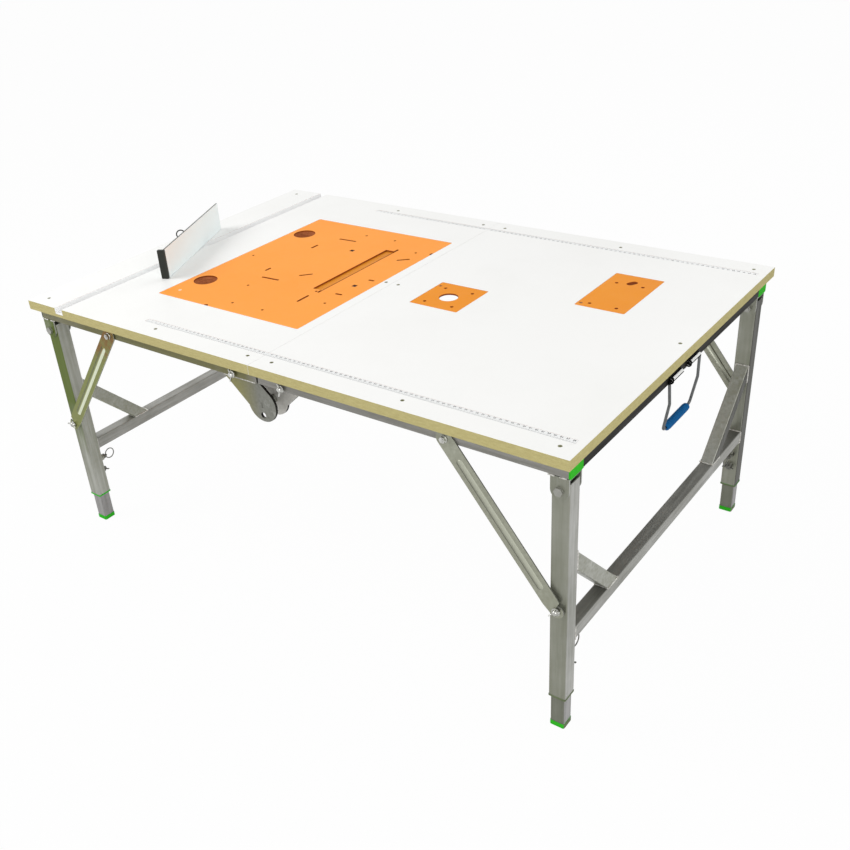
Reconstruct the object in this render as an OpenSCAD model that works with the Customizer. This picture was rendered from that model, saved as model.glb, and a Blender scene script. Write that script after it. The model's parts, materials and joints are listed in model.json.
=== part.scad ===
// Folding saw table: two boards hinged at a centre seam, on folding leg frames with drawn-out feet.
// +X runs along the table to the right, +Y to the back, +Z up. The origin is on the floor at the centre.

/* [Table] */
// Length of the open table
table_l = 1200; // [1150:10:1300]
// Width of the table from front to back
table_w = 800; // [780:10:900]
// Height of the top surface with the feet drawn out
table_h = 530; // [510:5:560]
// Thickness of each board
board_t = 18; // [15:1:22]
// Gap left between the two boards at the seam
seam_gap = 0.6; // [0.4:0.1:2]

/* [Top frame] */
// Width of a long rail
rail_w = 38; // [36:1:44]
// Height of every frame rail
rail_h = 25; // [22:1:30]
// Width of a cross rail
cross_w = 25; // [20:1:30]
// Wall of all steel tubes
tube_wall = 1.5; // [1.2:0.1:2]
// Outer corner radius of all steel tubes
tube_r = 2.4; // [2.1:0.1:3]
// Distance from the board's long edge to the long rail
edge_inset = 17; // [16:1:22]
// Distance from the board's end to the end of the frame
end_inset = 7; // [6:1:12]
// Distance from the seam to the frame
seam_inset = 2; // [1:0.5:4]
// Thickness of the flange of a rail plug
plug_t = 3; // [2:0.5:4]
// Depth of a plug inside its tube
plug_depth = 16; // [10:1:25]

/* [Leg frames] */
// Outer width of a square leg tube
leg_w = 30; // [28:1:32]
// Length of a leg tube
leg_l = 409; // [400:1:420]
// Distance from the end of the frame to the outer face of a leg
leg_inset = 2; // [0:1:6]
// Distance of the leg pivot below the rails
pivot_drop = 23; // [22:1:30]
// Length of leg above its pivot
leg_above = 12; // [10:1:13]
// Distance of the lower crossbar's middle above the lower end of the legs
bar_rise = 117; // [110:1:140]
// Outer width of the crossbar and the corner struts
bar_w = 25; // [20:1:28]
// Distance of a corner strut's middle above the crossbar's middle, at the leg
strut_rise = 142; // [120:1:150]
// Clearance between a leg and each cheek of its bracket
leg_gap = 1; // [0.5:0.1:1.5]
// Thickness of the bracket plate
bracket_t = 3; // [2:0.5:4]

/* [Feet] */
// Outer width of a foot tube
foot_w = 25; // [22:1:25]
// Length of foot tube kept inside the leg as drawn
foot_insert = 128; // [110:2:140]
// Height of the part of a foot cap that shows
cap_h = 9; // [6:1:12]
// Flange of the plastic collar at the lower end of a leg
collar_t = 3; // [2:0.5:5]
// Distance that the collar's flange stands proud of the leg
collar_lip = 0.6; // [0.4:0.2:3]
// Distance of the lock plunger above the lower end of its leg
plunger_rise = 75; // [72:1:85]
// Distance of the foot clamp screw above the lower end of its leg
clamp_rise = 47; // [35:1:55]

/* [Braces] */
// Width of a brace at its hooked end
brace_w = 24; // [20:1:24]
// Width of a brace along its length
brace_body_w = 30; // [24:1:32]
// Length over which a brace narrows to its hooked end
brace_taper = 18; // [12:1:30]
// Sheet thickness of a brace
brace_t = 2.5; // [2:0.5:3]
// Distance from the seam to a brace's pivot on the rail
brace_x = 384; // [370:1:395]
// Distance of a brace's rail pivot below the board
brace_drop = 18; // [16:1:19]
// Distance of a brace's lower screw above the lower end of its leg
stud_rise = 181; // [170:1:195]
// Width of the pressed bead
bead_w = 12; // [8:0.5:13]
// Height of the pressed bead above the sheet
bead_h = 2.5; // [2:0.1:3]
// Distance from the rail pivot to the start of the bead
bead_start = 38; // [30:1:60]
// Distance from the bead's end to the lower screw
bead_end = 40; // [34:1:60]

/* [Centre hinge] */
// Distance of the fold axis below the rails
fold_drop = 42; // [42:1:50]
// Radius of the round end of a hinge plate
hinge_r = 32; // [28:1:36]
// Reach of a hinge plate along its rail from the seam
hinge_reach = 84; // [76:1:88]
// Thickness of a hinge plate
hinge_t = 5; // [3:0.5:6]
// Distance of the outer hinge plate behind the rail's outer face
hinge_inset = 3; // [2:0.5:6]
// Radius of the fold pin
fold_pin_r = 5; // [4:0.5:6]
// Radius of the lock hole
lock_hole_r = 5.5; // [3:0.5:5.5]
// Distance of the lock hole below the fold axis
lock_hole_drop = 20; // [18:1:20]

/* [Fasteners] */
// Shank radius of a leg pivot bolt
bolt_r = 4; // [3.5:0.5:5]
// Shank radius of all wing screws and brace bolts
screw_r = 3; // [2.5:0.5:3.5]
// Reach of the wings from a wing screw's axis
wing_reach = 11.5; // [9:0.5:11.5]
// Height of the wings above the flange
wing_h = 9; // [7:0.5:10]
// Radius of the flange under the wings
flange_r = 7; // [6:0.5:8]
// Thickness of the flange under the wings
flange_t = 2; // [1:0.5:2.5]
// Head radius of the countersunk top screws
head_r = 3.3; // [3:0.1:4.5]
// Shank radius of the countersunk top screws
top_screw_r = 2.1; // [1.5:0.1:2.5]

/* [Saw plate] */
// Length of the saw plate along the table
saw_l = 364; // [340:2:372]
// Width of the saw plate across the table
saw_w = 493; // [460:1:520]
// Distance from the seam to the saw plate
saw_inset = 22.5; // [18:0.5:30]
// Thickness of all three inlaid plates
plate_t = 3; // [2:0.5:4]
// Corner radius of the saw plate
saw_corner = 2.5; // [2:0.5:10]
// Radius of the two round holes at the plate's outer side
grip_hole_r = 24; // [18:1:28]
// Length of the sunk strip beside the blade
strip_l = 236; // [200:2:260]
// Width of the sunk strip beside the blade
strip_w = 20; // [16:1:24]
// Width of the blade slit
slit_w = 5; // [4.6:0.2:6]

/* [Router and jigsaw plates] */
// Size of the router plate along and across the table
router_size = [103, 109];
// Size of the jigsaw plate along and across the table
jigsaw_size = [96, 169];
// Distance from the seam to the router plate
router_inset = 84; // [70:1:100]
// Distance from the seam to the jigsaw plate
jigsaw_inset = 354.5; // [330:0.5:370]
// Radius of the router bit hole
bit_hole_r = 18; // [14:0.5:24]
// Length of the jigsaw blade hole
blade_hole_l = 22; // [16:1:28]
// Width of the jigsaw blade hole
blade_hole_w = 13; // [10:1:16]
// Width of the ledge that carries a small plate
ledge_w = 9; // [6:0.5:10]

/* [Track and fence] */
// Outer width of the mitre track
track_w = 22; // [20:0.5:26]
// Depth of the mitre track
track_d = 12; // [10:0.5:14]
// Wall of the mitre track
track_wall = 1.5; // [1:0.1:2]
// Distance from the board's left end to the track's middle
track_inset = 94.5; // [80:0.5:110]
// Length of the fence
fence_l = 304; // [260:2:340]
// Height of the fence
fence_h = 60; // [40:1:70]
// Thickness of the fence
fence_t = 13; // [10:0.5:18]
// Wall of the fence extrusion
fence_wall = 1.6; // [1.2:0.1:2]
// Angle of the fence away from the line of the track
fence_angle = 24.5; // [0:0.5:30]
// Distance of the fence's pivot in front of the table's middle
fence_y = 67; // [40:1:120]
// Length of the sliding bar in the track
slider_l = 130; // [100:2:160]
// Outer radius of the ring on the fence knob
knob_r = 10; // [8:0.5:11]
// Height of the fence knob's ring above the table
knob_top = 55; // [50:1:75]
// Thickness of the fence's end cap
end_cap_t = 6; // [4:0.5:8]

/* [Rulers] */
// Width of a ruler
ruler_w = 11; // [8:0.5:14]
// Thickness of a ruler
ruler_t = 0.8; // [0.5:0.1:1]
// Distance from the board's long edge to a ruler's middle
ruler_inset = 49; // [46:0.5:60]
// Reach of the rulers to the left of the seam
ruler_left = 304; // [280:1:320]
// Reach of the rulers to the right of the seam
ruler_right = 585; // [560:1:588]

/* [Carry handle] */
// Radius of the handle's wire
wire_r = 2.5; // [2:0.1:2.6]
// Height of the handle's pivot above the bottom of its rail
handle_rise = 8; // [6:0.5:9]
// Distance of each wire arm from the table's middle at the pivot
handle_half = 61; // [55:1:66]
// Drop of the handle from its pivot to the grip
handle_drop = 94; // [80:1:100]
// Drop of the handle from its pivot to its knees
knee_drop = 41; // [30:1:50]
// Length of the grip
grip_l = 86; // [70:1:96]
// Radius of the grip
grip_r = 7; // [5:0.5:9]
// Length of each handle clip
clip_l = 44; // [30:1:46]

/* [Hidden] */

// Colours
laminate = [0.96, 0.96, 0.95];
steel = [0.62, 0.63, 0.62];
zinc = [0.78, 0.78, 0.76];
orange = [0.97, 0.6, 0.25];
aluminium = [0.82, 0.83, 0.83];
green = [0.25, 0.68, 0.25];
blue = [0.12, 0.38, 0.62];
black = [0.12, 0.12, 0.11];

// Clearances: round pieces that turn, flat pieces that slide, welded joints and seated faces
turn_gap = 0.06;
slide_gap = 0.3;
weld_gap = 0.2;
fit_gap = 0.05;
round_fn = 48;

// Levels
board_z = table_h - board_t;
rail_z = board_z - rail_h;
rail_mid_z = rail_z + rail_h / 2;
pivot_z = rail_z - pivot_drop;
leg_bottom_z = pivot_z + leg_above - leg_l;
bar_z = leg_bottom_z + bar_rise;
strut_z = bar_z + strut_rise;
stud_z = leg_bottom_z + stud_rise;
plunger_z = leg_bottom_z + plunger_rise;
clamp_z = leg_bottom_z + clamp_rise;
fold_z = rail_z - fold_drop;

// Places along the table
half_l = table_l / 2;
frame_end = half_l - end_inset;
leg_x = frame_end - leg_inset - leg_w / 2;

// Places across the table: the long rails, legs and hinges share one line
half_w = table_w / 2;
leg_y = half_w - edge_inset - rail_w / 2;
rail_face = leg_y + rail_w / 2;
rail_inner = leg_y - rail_w / 2;
leg_face = leg_y + leg_w / 2;
leg_inner = leg_y - leg_w / 2;
foot_inner = leg_y - foot_w / 2;
bracket_face = leg_face + leg_gap + bracket_t;
brace_face = max(rail_face, bracket_face) + slide_gap;
brace_out = brace_face + brace_t + slide_gap;

// Brace: its rest slope, and where its free end lies when it is swung up along the rail
brace_run = leg_x - brace_x;
brace_z = rail_z + rail_h - brace_drop;
brace_fall = brace_z - stud_z;
brace_l = norm([brace_run, brace_fall]);
brace_slope = atan2(brace_fall, brace_run);
stow_x = brace_x - brace_l - brace_w / 2 - screw_r - 0.5;
notch_l = max(brace_w, brace_body_w);
notch_turn = 117;
bead_r = (pow(bead_w / 2, 2) + pow(bead_h, 2)) / (2 * bead_h);
bead_skin = min(brace_t, bead_h) * 0.8;

// Hinge plates: the left pair stands near the rails' outer faces, the right pair at their inner faces
left_hinge_y = rail_face - hinge_inset - hinge_t;
right_hinge_y = rail_inner;
hinge_neck = 12;
pin_head_t = 1.5;
pin_slot_w = 1.6;

// Saw plate, with its features placed from the plate's middle
saw_x = -saw_inset - saw_l / 2;
saw_y = -1.5;
grip_hole_at = [saw_x - saw_l / 2 + 35, 152];
strip_x = saw_x + 90.5;
strip_y = saw_y + 33;
slit_x = strip_x + strip_w / 2 + slit_w / 2;
slit_over = 12;
// Bolt slots: middle from the plate's middle, length and direction
saw_slots = [
    [[-72.5, 99.5], 22, 90], [[-32.5, 162.5], 44, 3], [[-71.5, -48.5], 17, 90], [[-31.5, -85], 44, 3],
    [[20.5, -36.5], 28, 45], [[97, -133.5], 34, 90], [[145.5, -85.5], 16, 3], [[158.5, -0.5], 14, 3],
    [[147.5, 119.5], 27, 40]
];
saw_slot_w = 5;
saw_holes = [
    [-12.5, 203.5], [63.5, 204.5], [-157.5, -1.5], [-47.5, -132.5], [-11.5, -213],
    [64.5, -211.5], [96.5, -94], [149.5, -131.5], [147.5, 163.5]
];
saw_hole_r = 2.6;
saw_squares = [[17.5, 115.5], [146, -37.5]];
saw_square_w = 9;
// Opening in the board under the saw plate, from the plate's edges
saw_ledge_left = 68;
saw_ledge_right = 27;
saw_ledge_side = 46;

// Router and jigsaw plates
router_at = [router_inset + router_size[0] / 2, -0.5];
jigsaw_at = [jigsaw_inset + jigsaw_size[0] / 2, 158.5];
bit_hole_at = router_at + [0.5, -2.5];
router_bolts = [60, 69];
jigsaw_bolts = [52, 108];
jigsaw_bolts_at = jigsaw_at + [-0.5, -13.5];
blade_hole_at = jigsaw_at + [0, 50];
small_plate_corner = 2;
router_fixing = router_at + [-45, 37.5];
jigsaw_fixing = jigsaw_at + [-41.5, -72.5];
saw_fixing = [saw_x - saw_l / 2 + 27.5, saw_y - saw_w / 2 + 31.5];
plate_gap = 0.3;

// Countersunk top screws, from the table's middle
screw_y = half_w - 28;
end_screw_x = half_l - 30;
seam_screw_x = seam_inset + cross_w / 2;
end_rail_x = frame_end - cross_w / 2;
long_screws_left = [-end_screw_x, -257, -seam_screw_x - 11];
long_screws_right = [seam_screw_x + 15, 300, end_screw_x];
screw_depth = board_t + tube_wall + 4;

// Track and fence
track_x = -half_l + track_inset;
slot_w = track_w - 2 * track_wall;
slider_w = slot_w - 2 * slide_gap;
slider_h = track_d - track_wall - 1;
slider_z = table_h - track_d + track_wall + 0.1;
fence_foot_t = 3;
knob_base_r = 6;
fence_back = knob_base_r + 1 + fence_foot_t;
fence_front_part = 141;
fence_face_t = 2 * fence_wall;
fence_box_h = 0.6 * fence_h;
stud_h = knob_top * 0.42;
knob_turn = 50;

// Carry handle: the wire is held against the end rail by two clips
handle_z = rail_z + handle_rise;
handle_x = frame_end + slide_gap + wire_r;
clip_wall = 1.5;
clip_r = wire_r + turn_gap + clip_wall;
clip_end = handle_half - wire_r - 1;
knee_out = min(1.6, half_l - wire_r - handle_x - 0.3);
grip_in = 8;
bush_l = 5;

// Shared shapes

module both_ways() {
    for (m = [0, 1]) mirror([0, m, 0]) children();
}

// Draws its children, modelled at the right rear corner, at the corner named by two signs
module at_corner(sx, sy) {
    mirror([sx < 0 ? 1 : 0, 0, 0]) mirror([0, sy < 0 ? 1 : 0, 0]) children();
}

module rounded_rect(w, h, r) {
    square([w - 2 * r, h], center = true);
    square([w, h - 2 * r], center = true);
    for (x = [-1, 1], y = [-1, 1])
        translate([x * (w / 2 - r), y * (h / 2 - r)]) circle(r, $fn = round_fn);
}

// A slot with round ends, its middle at the origin, along X
module slot_2d(l, w) {
    square([l - w, w], center = true);
    for (x = [-1, 1]) translate([x * (l - w) / 2, 0]) circle(w / 2, $fn = round_fn);
}

// A square tube that stands on the origin, w along X and h along Y
module tube_up(w, h, l) {
    linear_extrude(l) difference() {
        rounded_rect(w, h, tube_r);
        rounded_rect(w - 2 * tube_wall, h - 2 * tube_wall, tube_r - tube_wall);
    }
}

module tube_along_x(h, w, l) {
    rotate([0, 90, 0]) tube_up(h, w, l);
}

module tube_along_y(w, h, l) {
    rotate([-90, 0, 0]) tube_up(w, h, l);
}

// A round bar from the origin along +Y
module rod_y(r, l) {
    rotate([-90, 0, 0]) cylinder(r = r, h = l, $fn = round_fn);
}

// A hexagon from the origin along +Y
module hex_y(across, t) {
    rotate([-90, 0, 0]) cylinder(r = across / sqrt(3), h = t, $fn = 6);
}

// A round bar between two points, with a round end at the first
module wire(a, b) {
    d = b - a;
    l = norm(d);
    translate(a) {
        rotate([0, acos(d[2] / l), atan2(d[1], d[0])]) cylinder(r = wire_r, h = l, $fn = round_fn);
        sphere(wire_r, $fn = round_fn);
    }
}

// A wing screw along +Y: the flange stands on the origin and the shank goes back by shank_l
module wing_screw(shank_l) {
    hub_h = wing_h * 0.7;
    translate([0, -shank_l, 0]) rod_y(screw_r, shank_l + 0.5);
    rod_y(flange_r, flange_t);
    rotate([-90, 0, 0]) cylinder(r1 = flange_r * 0.8, r2 = flange_r * 0.6, h = hub_h, $fn = round_fn);
    for (m = [0, 1]) mirror([m, 0, 0]) wing();
}

// One wing: a rounded ear that leans out from the hub
module wing() {
    ear_r = 3.2;
    ear_t = 2.4;
    translate([0, 0, -ear_t / 2]) linear_extrude(ear_t) {
        translate([wing_reach - ear_r, wing_h - ear_r]) circle(ear_r, $fn = round_fn);
        polygon([
            [2, 1], [flange_r * 0.8, 1], [wing_reach - 0.6, wing_h - ear_r * 1.4],
            [wing_reach - 2 * ear_r, wing_h - ear_r * 0.4], [2, flange_t + 2]
        ]);
    }
}

module countersink(at, top, depth) {
    translate([at[0], at[1], top - depth]) cylinder(r = top_screw_r + fit_gap, h = depth + 1, $fn = round_fn);
    translate([at[0], at[1], top - head_r + top_screw_r])
        cylinder(r1 = top_screw_r + fit_gap, r2 = head_r + fit_gap, h = head_r - top_screw_r, $fn = round_fn);
}

module top_screw(at, top, depth) {
    translate([at[0], at[1], top - depth + 0.5]) cylinder(r = top_screw_r, h = depth - 1, $fn = round_fn);
    translate([at[0], at[1], top - head_r + top_screw_r])
        cylinder(r1 = top_screw_r, r2 = head_r, h = head_r - top_screw_r, $fn = round_fn);
}

function left_screw_spots() = concat(
    [for (x = long_screws_left, s = [-1, 1]) [x, s * screw_y]],
    [[-seam_screw_x, 4], [-end_rail_x, 10]]
);

function right_screw_spots() = concat(
    [for (x = long_screws_right, s = [-1, 1]) [x, s * screw_y]],
    [[seam_screw_x, 4], [end_rail_x, 10]]
);

function rect_spots(at, size) = [for (x = [-1, 1], y = [-1, 1]) at + [x * size[0] / 2, y * size[1] / 2]];

// Boards

module board_blank() {
    translate([seam_gap / 2, -half_w, board_z]) cube([half_l - seam_gap / 2, table_w, board_t]);
}

// The rebate that a plate drops into
module rebate(at, size, corner) {
    translate([at[0], at[1], table_h - plate_t])
        linear_extrude(plate_t + 1)
            rounded_rect(size[0] + 2 * plate_gap, size[1] + 2 * plate_gap, corner + plate_gap);
}

module left_board() {
    open_l = saw_l - saw_ledge_left - saw_ledge_right;
    open_x = saw_x + (saw_ledge_left - saw_ledge_right) / 2;
    color(laminate) difference() {
        mirror([1, 0, 0]) board_blank();
        rebate([saw_x, saw_y], [saw_l, saw_w], saw_corner);
        translate([open_x, saw_y, board_z - 1])
            linear_extrude(board_t + 2) rounded_rect(open_l, saw_w - 2 * saw_ledge_side, 12);
        for (s = [-1, 1])
            translate([grip_hole_at[0], saw_y + s * grip_hole_at[1], board_z - 1])
                cylinder(r = grip_hole_r, h = board_t + 2, $fn = 96);
        translate([track_x - track_w / 2, -half_w - 1, table_h - track_d])
            cube([track_w, table_w + 2, track_d + 1]);
        ruler_grooves(-ruler_left, 2);
        for (at = left_screw_spots()) countersink(at, table_h, board_t + 1);
        countersink(saw_fixing, table_h - plate_t, 12);
    }
}

module right_board() {
    color(laminate) difference() {
        board_blank();
        rebate(router_at, router_size, small_plate_corner);
        rebate(jigsaw_at, jigsaw_size, small_plate_corner);
        board_opening(router_at, router_size);
        board_opening(jigsaw_at, jigsaw_size);
        ruler_grooves(-2, ruler_right);
        for (at = right_screw_spots()) countersink(at, table_h, board_t + 1);
        countersink(router_fixing, table_h - plate_t, 12);
        countersink(jigsaw_fixing, table_h - plate_t, 12);
    }
}

module board_opening(at, size) {
    translate([at[0], at[1], board_z - 1])
        linear_extrude(board_t + 2) rounded_rect(size[0] - 2 * ledge_w, size[1] - 2 * ledge_w, 6);
}

// Top frame, drawn on the right side: two long rails, two cross rails and two leg brackets

module long_rails() {
    both_ways() difference() {
        translate([seam_inset, leg_y, rail_mid_z]) tube_along_x(rail_h, rail_w, frame_end - plug_t - seam_inset);
        for (x = [brace_x, stow_x])
            translate([x, rail_face - tube_wall - 1, brace_z]) rod_y(screw_r + turn_gap, tube_wall + 2);
    }
}

module cross_rails() {
    reach = rail_inner - weld_gap;
    for (x = [seam_inset + cross_w / 2, frame_end - cross_w / 2])
        translate([x, -reach, rail_mid_z]) tube_along_y(cross_w, rail_h, 2 * reach);
}

// A bent bracket: a base plate under the rail and two cheeks with round lower ends
module leg_bracket() {
    base_z = rail_z - weld_gap - bracket_t;
    cheek_inner = leg_inner - leg_gap - bracket_t;
    difference() {
        union() {
            translate([leg_x - leg_w / 2, cheek_inner, base_z])
                cube([leg_w, bracket_face - cheek_inner, bracket_t]);
            for (y = [cheek_inner, bracket_face - bracket_t]) {
                translate([leg_x - leg_w / 2, y, pivot_z]) cube([leg_w, bracket_t, base_z - pivot_z + 1]);
                translate([leg_x, y, pivot_z]) rod_y(leg_w / 2, bracket_t);
            }
        }
        translate([leg_x, cheek_inner - 1, pivot_z]) rod_y(bolt_r + fit_gap, 2 * leg_w);
    }
}

module top_frame(spots) {
    color(steel) difference() {
        union() {
            long_rails();
            cross_rails();
        }
        for (at = spots)
            translate([abs(at[0]), at[1], rail_z + rail_h / 2])
                cylinder(r = top_screw_r + fit_gap, h = rail_h, $fn = round_fn);
    }
    color(steel) both_ways() leg_bracket();
}

module left_top_frame() {
    mirror([1, 0, 0]) top_frame(left_screw_spots());
}

module right_top_frame() {
    top_frame(right_screw_spots());
}

// Plastic plugs in the outer ends of the long rails
module rail_plugs() {
    plug_w = rail_w - 2 * tube_wall - 2 * fit_gap;
    plug_h = rail_h - 2 * tube_wall - 2 * fit_gap;
    color(green) both_ways() translate([frame_end - plug_t, leg_y, rail_mid_z]) rotate([0, 90, 0]) {
        linear_extrude(plug_t) rounded_rect(rail_h, rail_w, tube_r);
        translate([0, 0, -plug_depth]) linear_extrude(plug_depth) difference() {
            rounded_rect(plug_h, plug_w, 1);
            rounded_rect(plug_h - 4, plug_w - 4, 1);
        }
    }
}

module left_rail_plugs() {
    mirror([1, 0, 0]) rail_plugs();
}

module right_rail_plugs() {
    rail_plugs();
}

// Bolts of one half: leg pivots through the brackets, and brace pivots through the rails

module leg_pivot_bolt() {
    inner = leg_inner - leg_gap - bracket_t;
    head_t = 5.3;
    nut_t = 6.5;
    translate([leg_x, 0, pivot_z]) {
        translate([0, inner - nut_t - 2, 0]) rod_y(bolt_r, bracket_face - inner + nut_t + 2.5);
        translate([0, bracket_face, 0]) hex_y(3.25 * bolt_r, head_t);
        translate([0, inner - nut_t, 0]) hex_y(3.25 * bolt_r, nut_t);
    }
}

module brace_pivot_bolt() {
    washer_t = 1;
    nut_t = 5;
    translate([brace_x, 0, brace_z]) {
        translate([0, rail_face - tube_wall - 6, 0]) rod_y(screw_r, brace_out - rail_face + tube_wall + nut_t + 8);
        translate([0, brace_out, 0]) rod_y(screw_r * 2.1, washer_t);
        translate([0, brace_out + washer_t, 0]) hex_y(screw_r * 3.33, nut_t);
        translate([0, rail_face - tube_wall - 5.5, 0]) hex_y(screw_r * 3.33, 5);
    }
}

module half_bolts() {
    color(zinc) both_ways() {
        leg_pivot_bolt();
        brace_pivot_bolt();
    }
}

// The fold pins are fixed in the left pair of hinge plates: a head inside, a thick middle, a slotted end
module fold_pin() {
    y0 = right_hinge_y - slide_gap - pin_head_t;
    y1 = left_hinge_y + hinge_t;
    middle_y = right_hinge_y + hinge_t + slide_gap;
    color(steel) translate([0, 0, fold_z]) difference() {
        union() {
            translate([0, y0, 0]) rod_y(fold_pin_r, y1 - y0);
            translate([0, y0, 0]) rod_y(fold_pin_r * 1.6, pin_head_t);
            translate([0, middle_y, 0]) rod_y(fold_pin_r * 1.6, left_hinge_y - fit_gap - middle_y);
        }
        translate([-pin_slot_w / 2, y1 - 1, -fold_pin_r]) cube([pin_slot_w, 2, 2 * fold_pin_r]);
    }
}

module left_bolts() {
    mirror([1, 0, 0]) half_bolts();
    both_ways() fold_pin();
}

module right_bolts() {
    half_bolts();
}

// Hinge plate of the right side: a teardrop with a straight top edge and a neck under its long ear

function tangent_point(from, r) =
    let (d = norm(from), turn = acos(r / d), base = atan2(from[1], from[0]))
    [r * cos(base + turn), r * sin(base + turn)];

module hinge_plate(y, r_pin) {
    top = fold_drop - weld_gap;
    tip = [hinge_reach, top];
    back = [0, top];
    neck = hinge_r * [cos(hinge_neck), -sin(hinge_neck)];
    translate([0, y, fold_z]) rotate([90, 0, 0]) mirror([0, 0, 1]) linear_extrude(hinge_t) difference() {
        union() {
            circle(hinge_r, $fn = 96);
            polygon([tip, back, tangent_point(back, hinge_r), [0, 0], neck]);
        }
        circle(r_pin, $fn = round_fn);
        translate([0, -lock_hole_drop]) circle(lock_hole_r, $fn = round_fn);
    }
}

module left_hinge_plates() {
    color(steel) both_ways() mirror([1, 0, 0]) hinge_plate(left_hinge_y, fold_pin_r + fit_gap);
}

module right_hinge_plates() {
    color(steel) both_ways() hinge_plate(right_hinge_y, fold_pin_r + turn_gap);
}

// Countersunk screws of each half, with those that fix the plates

module left_top_screws() {
    color(zinc) {
        for (at = left_screw_spots()) top_screw(at, table_h, screw_depth);
        top_screw(saw_fixing, table_h, 14);
    }
}

module right_top_screws() {
    color(zinc) {
        for (at = right_screw_spots()) top_screw(at, table_h, screw_depth);
        for (at = [router_fixing, jigsaw_fixing]) top_screw(at, table_h, 14);
    }
}

// Rulers lie flush in shallow grooves along both long edges

module ruler_strip(x0, x1, gap) {
    both_ways() translate([(x0 + x1) / 2, half_w - ruler_inset, table_h - ruler_t - gap])
        linear_extrude(gap > 0 ? ruler_t + 1 : ruler_t)
            rounded_rect(x1 - x0 + 2 * gap, ruler_w + 2 * gap, 1.5 + gap);
}

module ruler(x0, x1) {
    color(aluminium) ruler_strip(x0, x1, 0);
}

module ruler_grooves(x0, x1) {
    ruler_strip(x0, x1, fit_gap);
}

module left_rulers() {
    ruler(-ruler_left, -seam_gap / 2);
}

module right_rulers() {
    ruler(seam_gap / 2, ruler_right);
}

module mitre_track() {
    color(aluminium) translate([track_x, -half_w, table_h - track_d]) difference() {
        translate([-track_w / 2, 0, 0]) cube([track_w, table_w, track_d]);
        translate([-slot_w / 2, -1, track_wall]) cube([slot_w, table_w + 2, track_d]);
    }
}

// Plates

module saw_plate() {
    color(orange) {
        difference() {
            translate([saw_x, saw_y, table_h - plate_t]) linear_extrude(plate_t) difference() {
                rounded_rect(saw_l, saw_w, saw_corner);
                for (s = saw_slots) translate(s[0]) rotate(s[2]) slot_2d(s[1], saw_slot_w);
                for (at = saw_holes) translate(at) circle(saw_hole_r, $fn = 24);
                for (at = saw_squares) translate(at) square(saw_square_w, center = true);
                translate([-50, -saw_w / 2]) circle(5, $fn = 24);
                translate([saw_l / 2, saw_w / 2 - 74.5]) circle(5, $fn = 24);
            }
            for (s = [-1, 1])
                translate([grip_hole_at[0], saw_y + s * grip_hole_at[1], board_z])
                    cylinder(r = grip_hole_r, h = board_t + 1, $fn = 96);
            blade_channel();
            countersink(saw_fixing, table_h, plate_t + 1);
        }
        blade_strip();
    }
}

// The opening beside the blade, and the slit that runs past both of its ends
module blade_channel() {
    translate([strip_x - strip_w / 2, strip_y - strip_l / 2, table_h - plate_t - 1])
        cube([strip_w + slit_w, strip_l, plate_t + 2]);
    translate([slit_x - slit_w / 2, strip_y - strip_l / 2 - slit_over, table_h - plate_t - 1])
        cube([slit_w, strip_l + 2 * slit_over, plate_t + 2]);
}

// The strip is sunk under the plate and stops at the blade slit
module blade_strip() {
    lap = 6;
    strip_t = 2;
    translate([strip_x - strip_w / 2 - lap, strip_y - strip_l / 2 - lap, table_h - plate_t - strip_t - weld_gap])
        cube([strip_w + lap, strip_l + 2 * lap, strip_t]);
}

module small_plate(at, size) {
    translate([at[0], at[1], table_h - plate_t]) linear_extrude(plate_t)
        rounded_rect(size[0], size[1], small_plate_corner);
}

module router_plate() {
    color(orange) difference() {
        small_plate(router_at, router_size);
        translate([bit_hole_at[0], bit_hole_at[1], board_z]) cylinder(r = bit_hole_r, h = board_t + 1, $fn = 96);
        for (at = rect_spots(bit_hole_at, router_bolts)) countersink(at, table_h, plate_t + 1);
        countersink(router_fixing, table_h, plate_t + 1);
    }
}

module jigsaw_plate() {
    color(orange) difference() {
        small_plate(jigsaw_at, jigsaw_size);
        translate([blade_hole_at[0], blade_hole_at[1], board_z])
            linear_extrude(board_t + 1) rotate(60) slot_2d(blade_hole_l, blade_hole_w);
        for (at = rect_spots(jigsaw_bolts_at, jigsaw_bolts)) countersink(at, table_h, plate_t + 1);
        countersink(jigsaw_fixing, table_h, plate_t + 1);
    }
}

// Leg frames, drawn on the right side: each has two legs, a crossbar, two corner struts and lock housings

module leg() {
    boss_r = screw_r * 2;
    difference() {
        union() {
            translate([leg_x, leg_y, leg_bottom_z]) tube_up(leg_w, leg_w, leg_l);
            translate([leg_x, leg_face - 0.5, stud_z]) rod_y(boss_r, brace_face - slide_gap - leg_face + 0.5);
            translate([leg_x, leg_inner - 5, clamp_z]) rod_y(boss_r, 5.5);
            translate([leg_x, leg_inner - 10, plunger_z]) rod_y(boss_r + 1, 10.5);
        }
        translate([leg_x, leg_inner - 1, pivot_z]) rod_y(bolt_r + turn_gap, leg_w + 2);
        translate([leg_x, leg_face - tube_wall - 1, stud_z]) rod_y(screw_r + turn_gap, 20);
        for (z = [plunger_z, clamp_z])
            translate([leg_x, leg_inner - 12, z]) rod_y(screw_r + turn_gap, 12 + tube_wall + 1);
    }
}

module left_legs() {
    color(steel) both_ways() mirror([1, 0, 0]) leg();
}

module right_legs() {
    color(steel) both_ways() leg();
}

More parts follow.
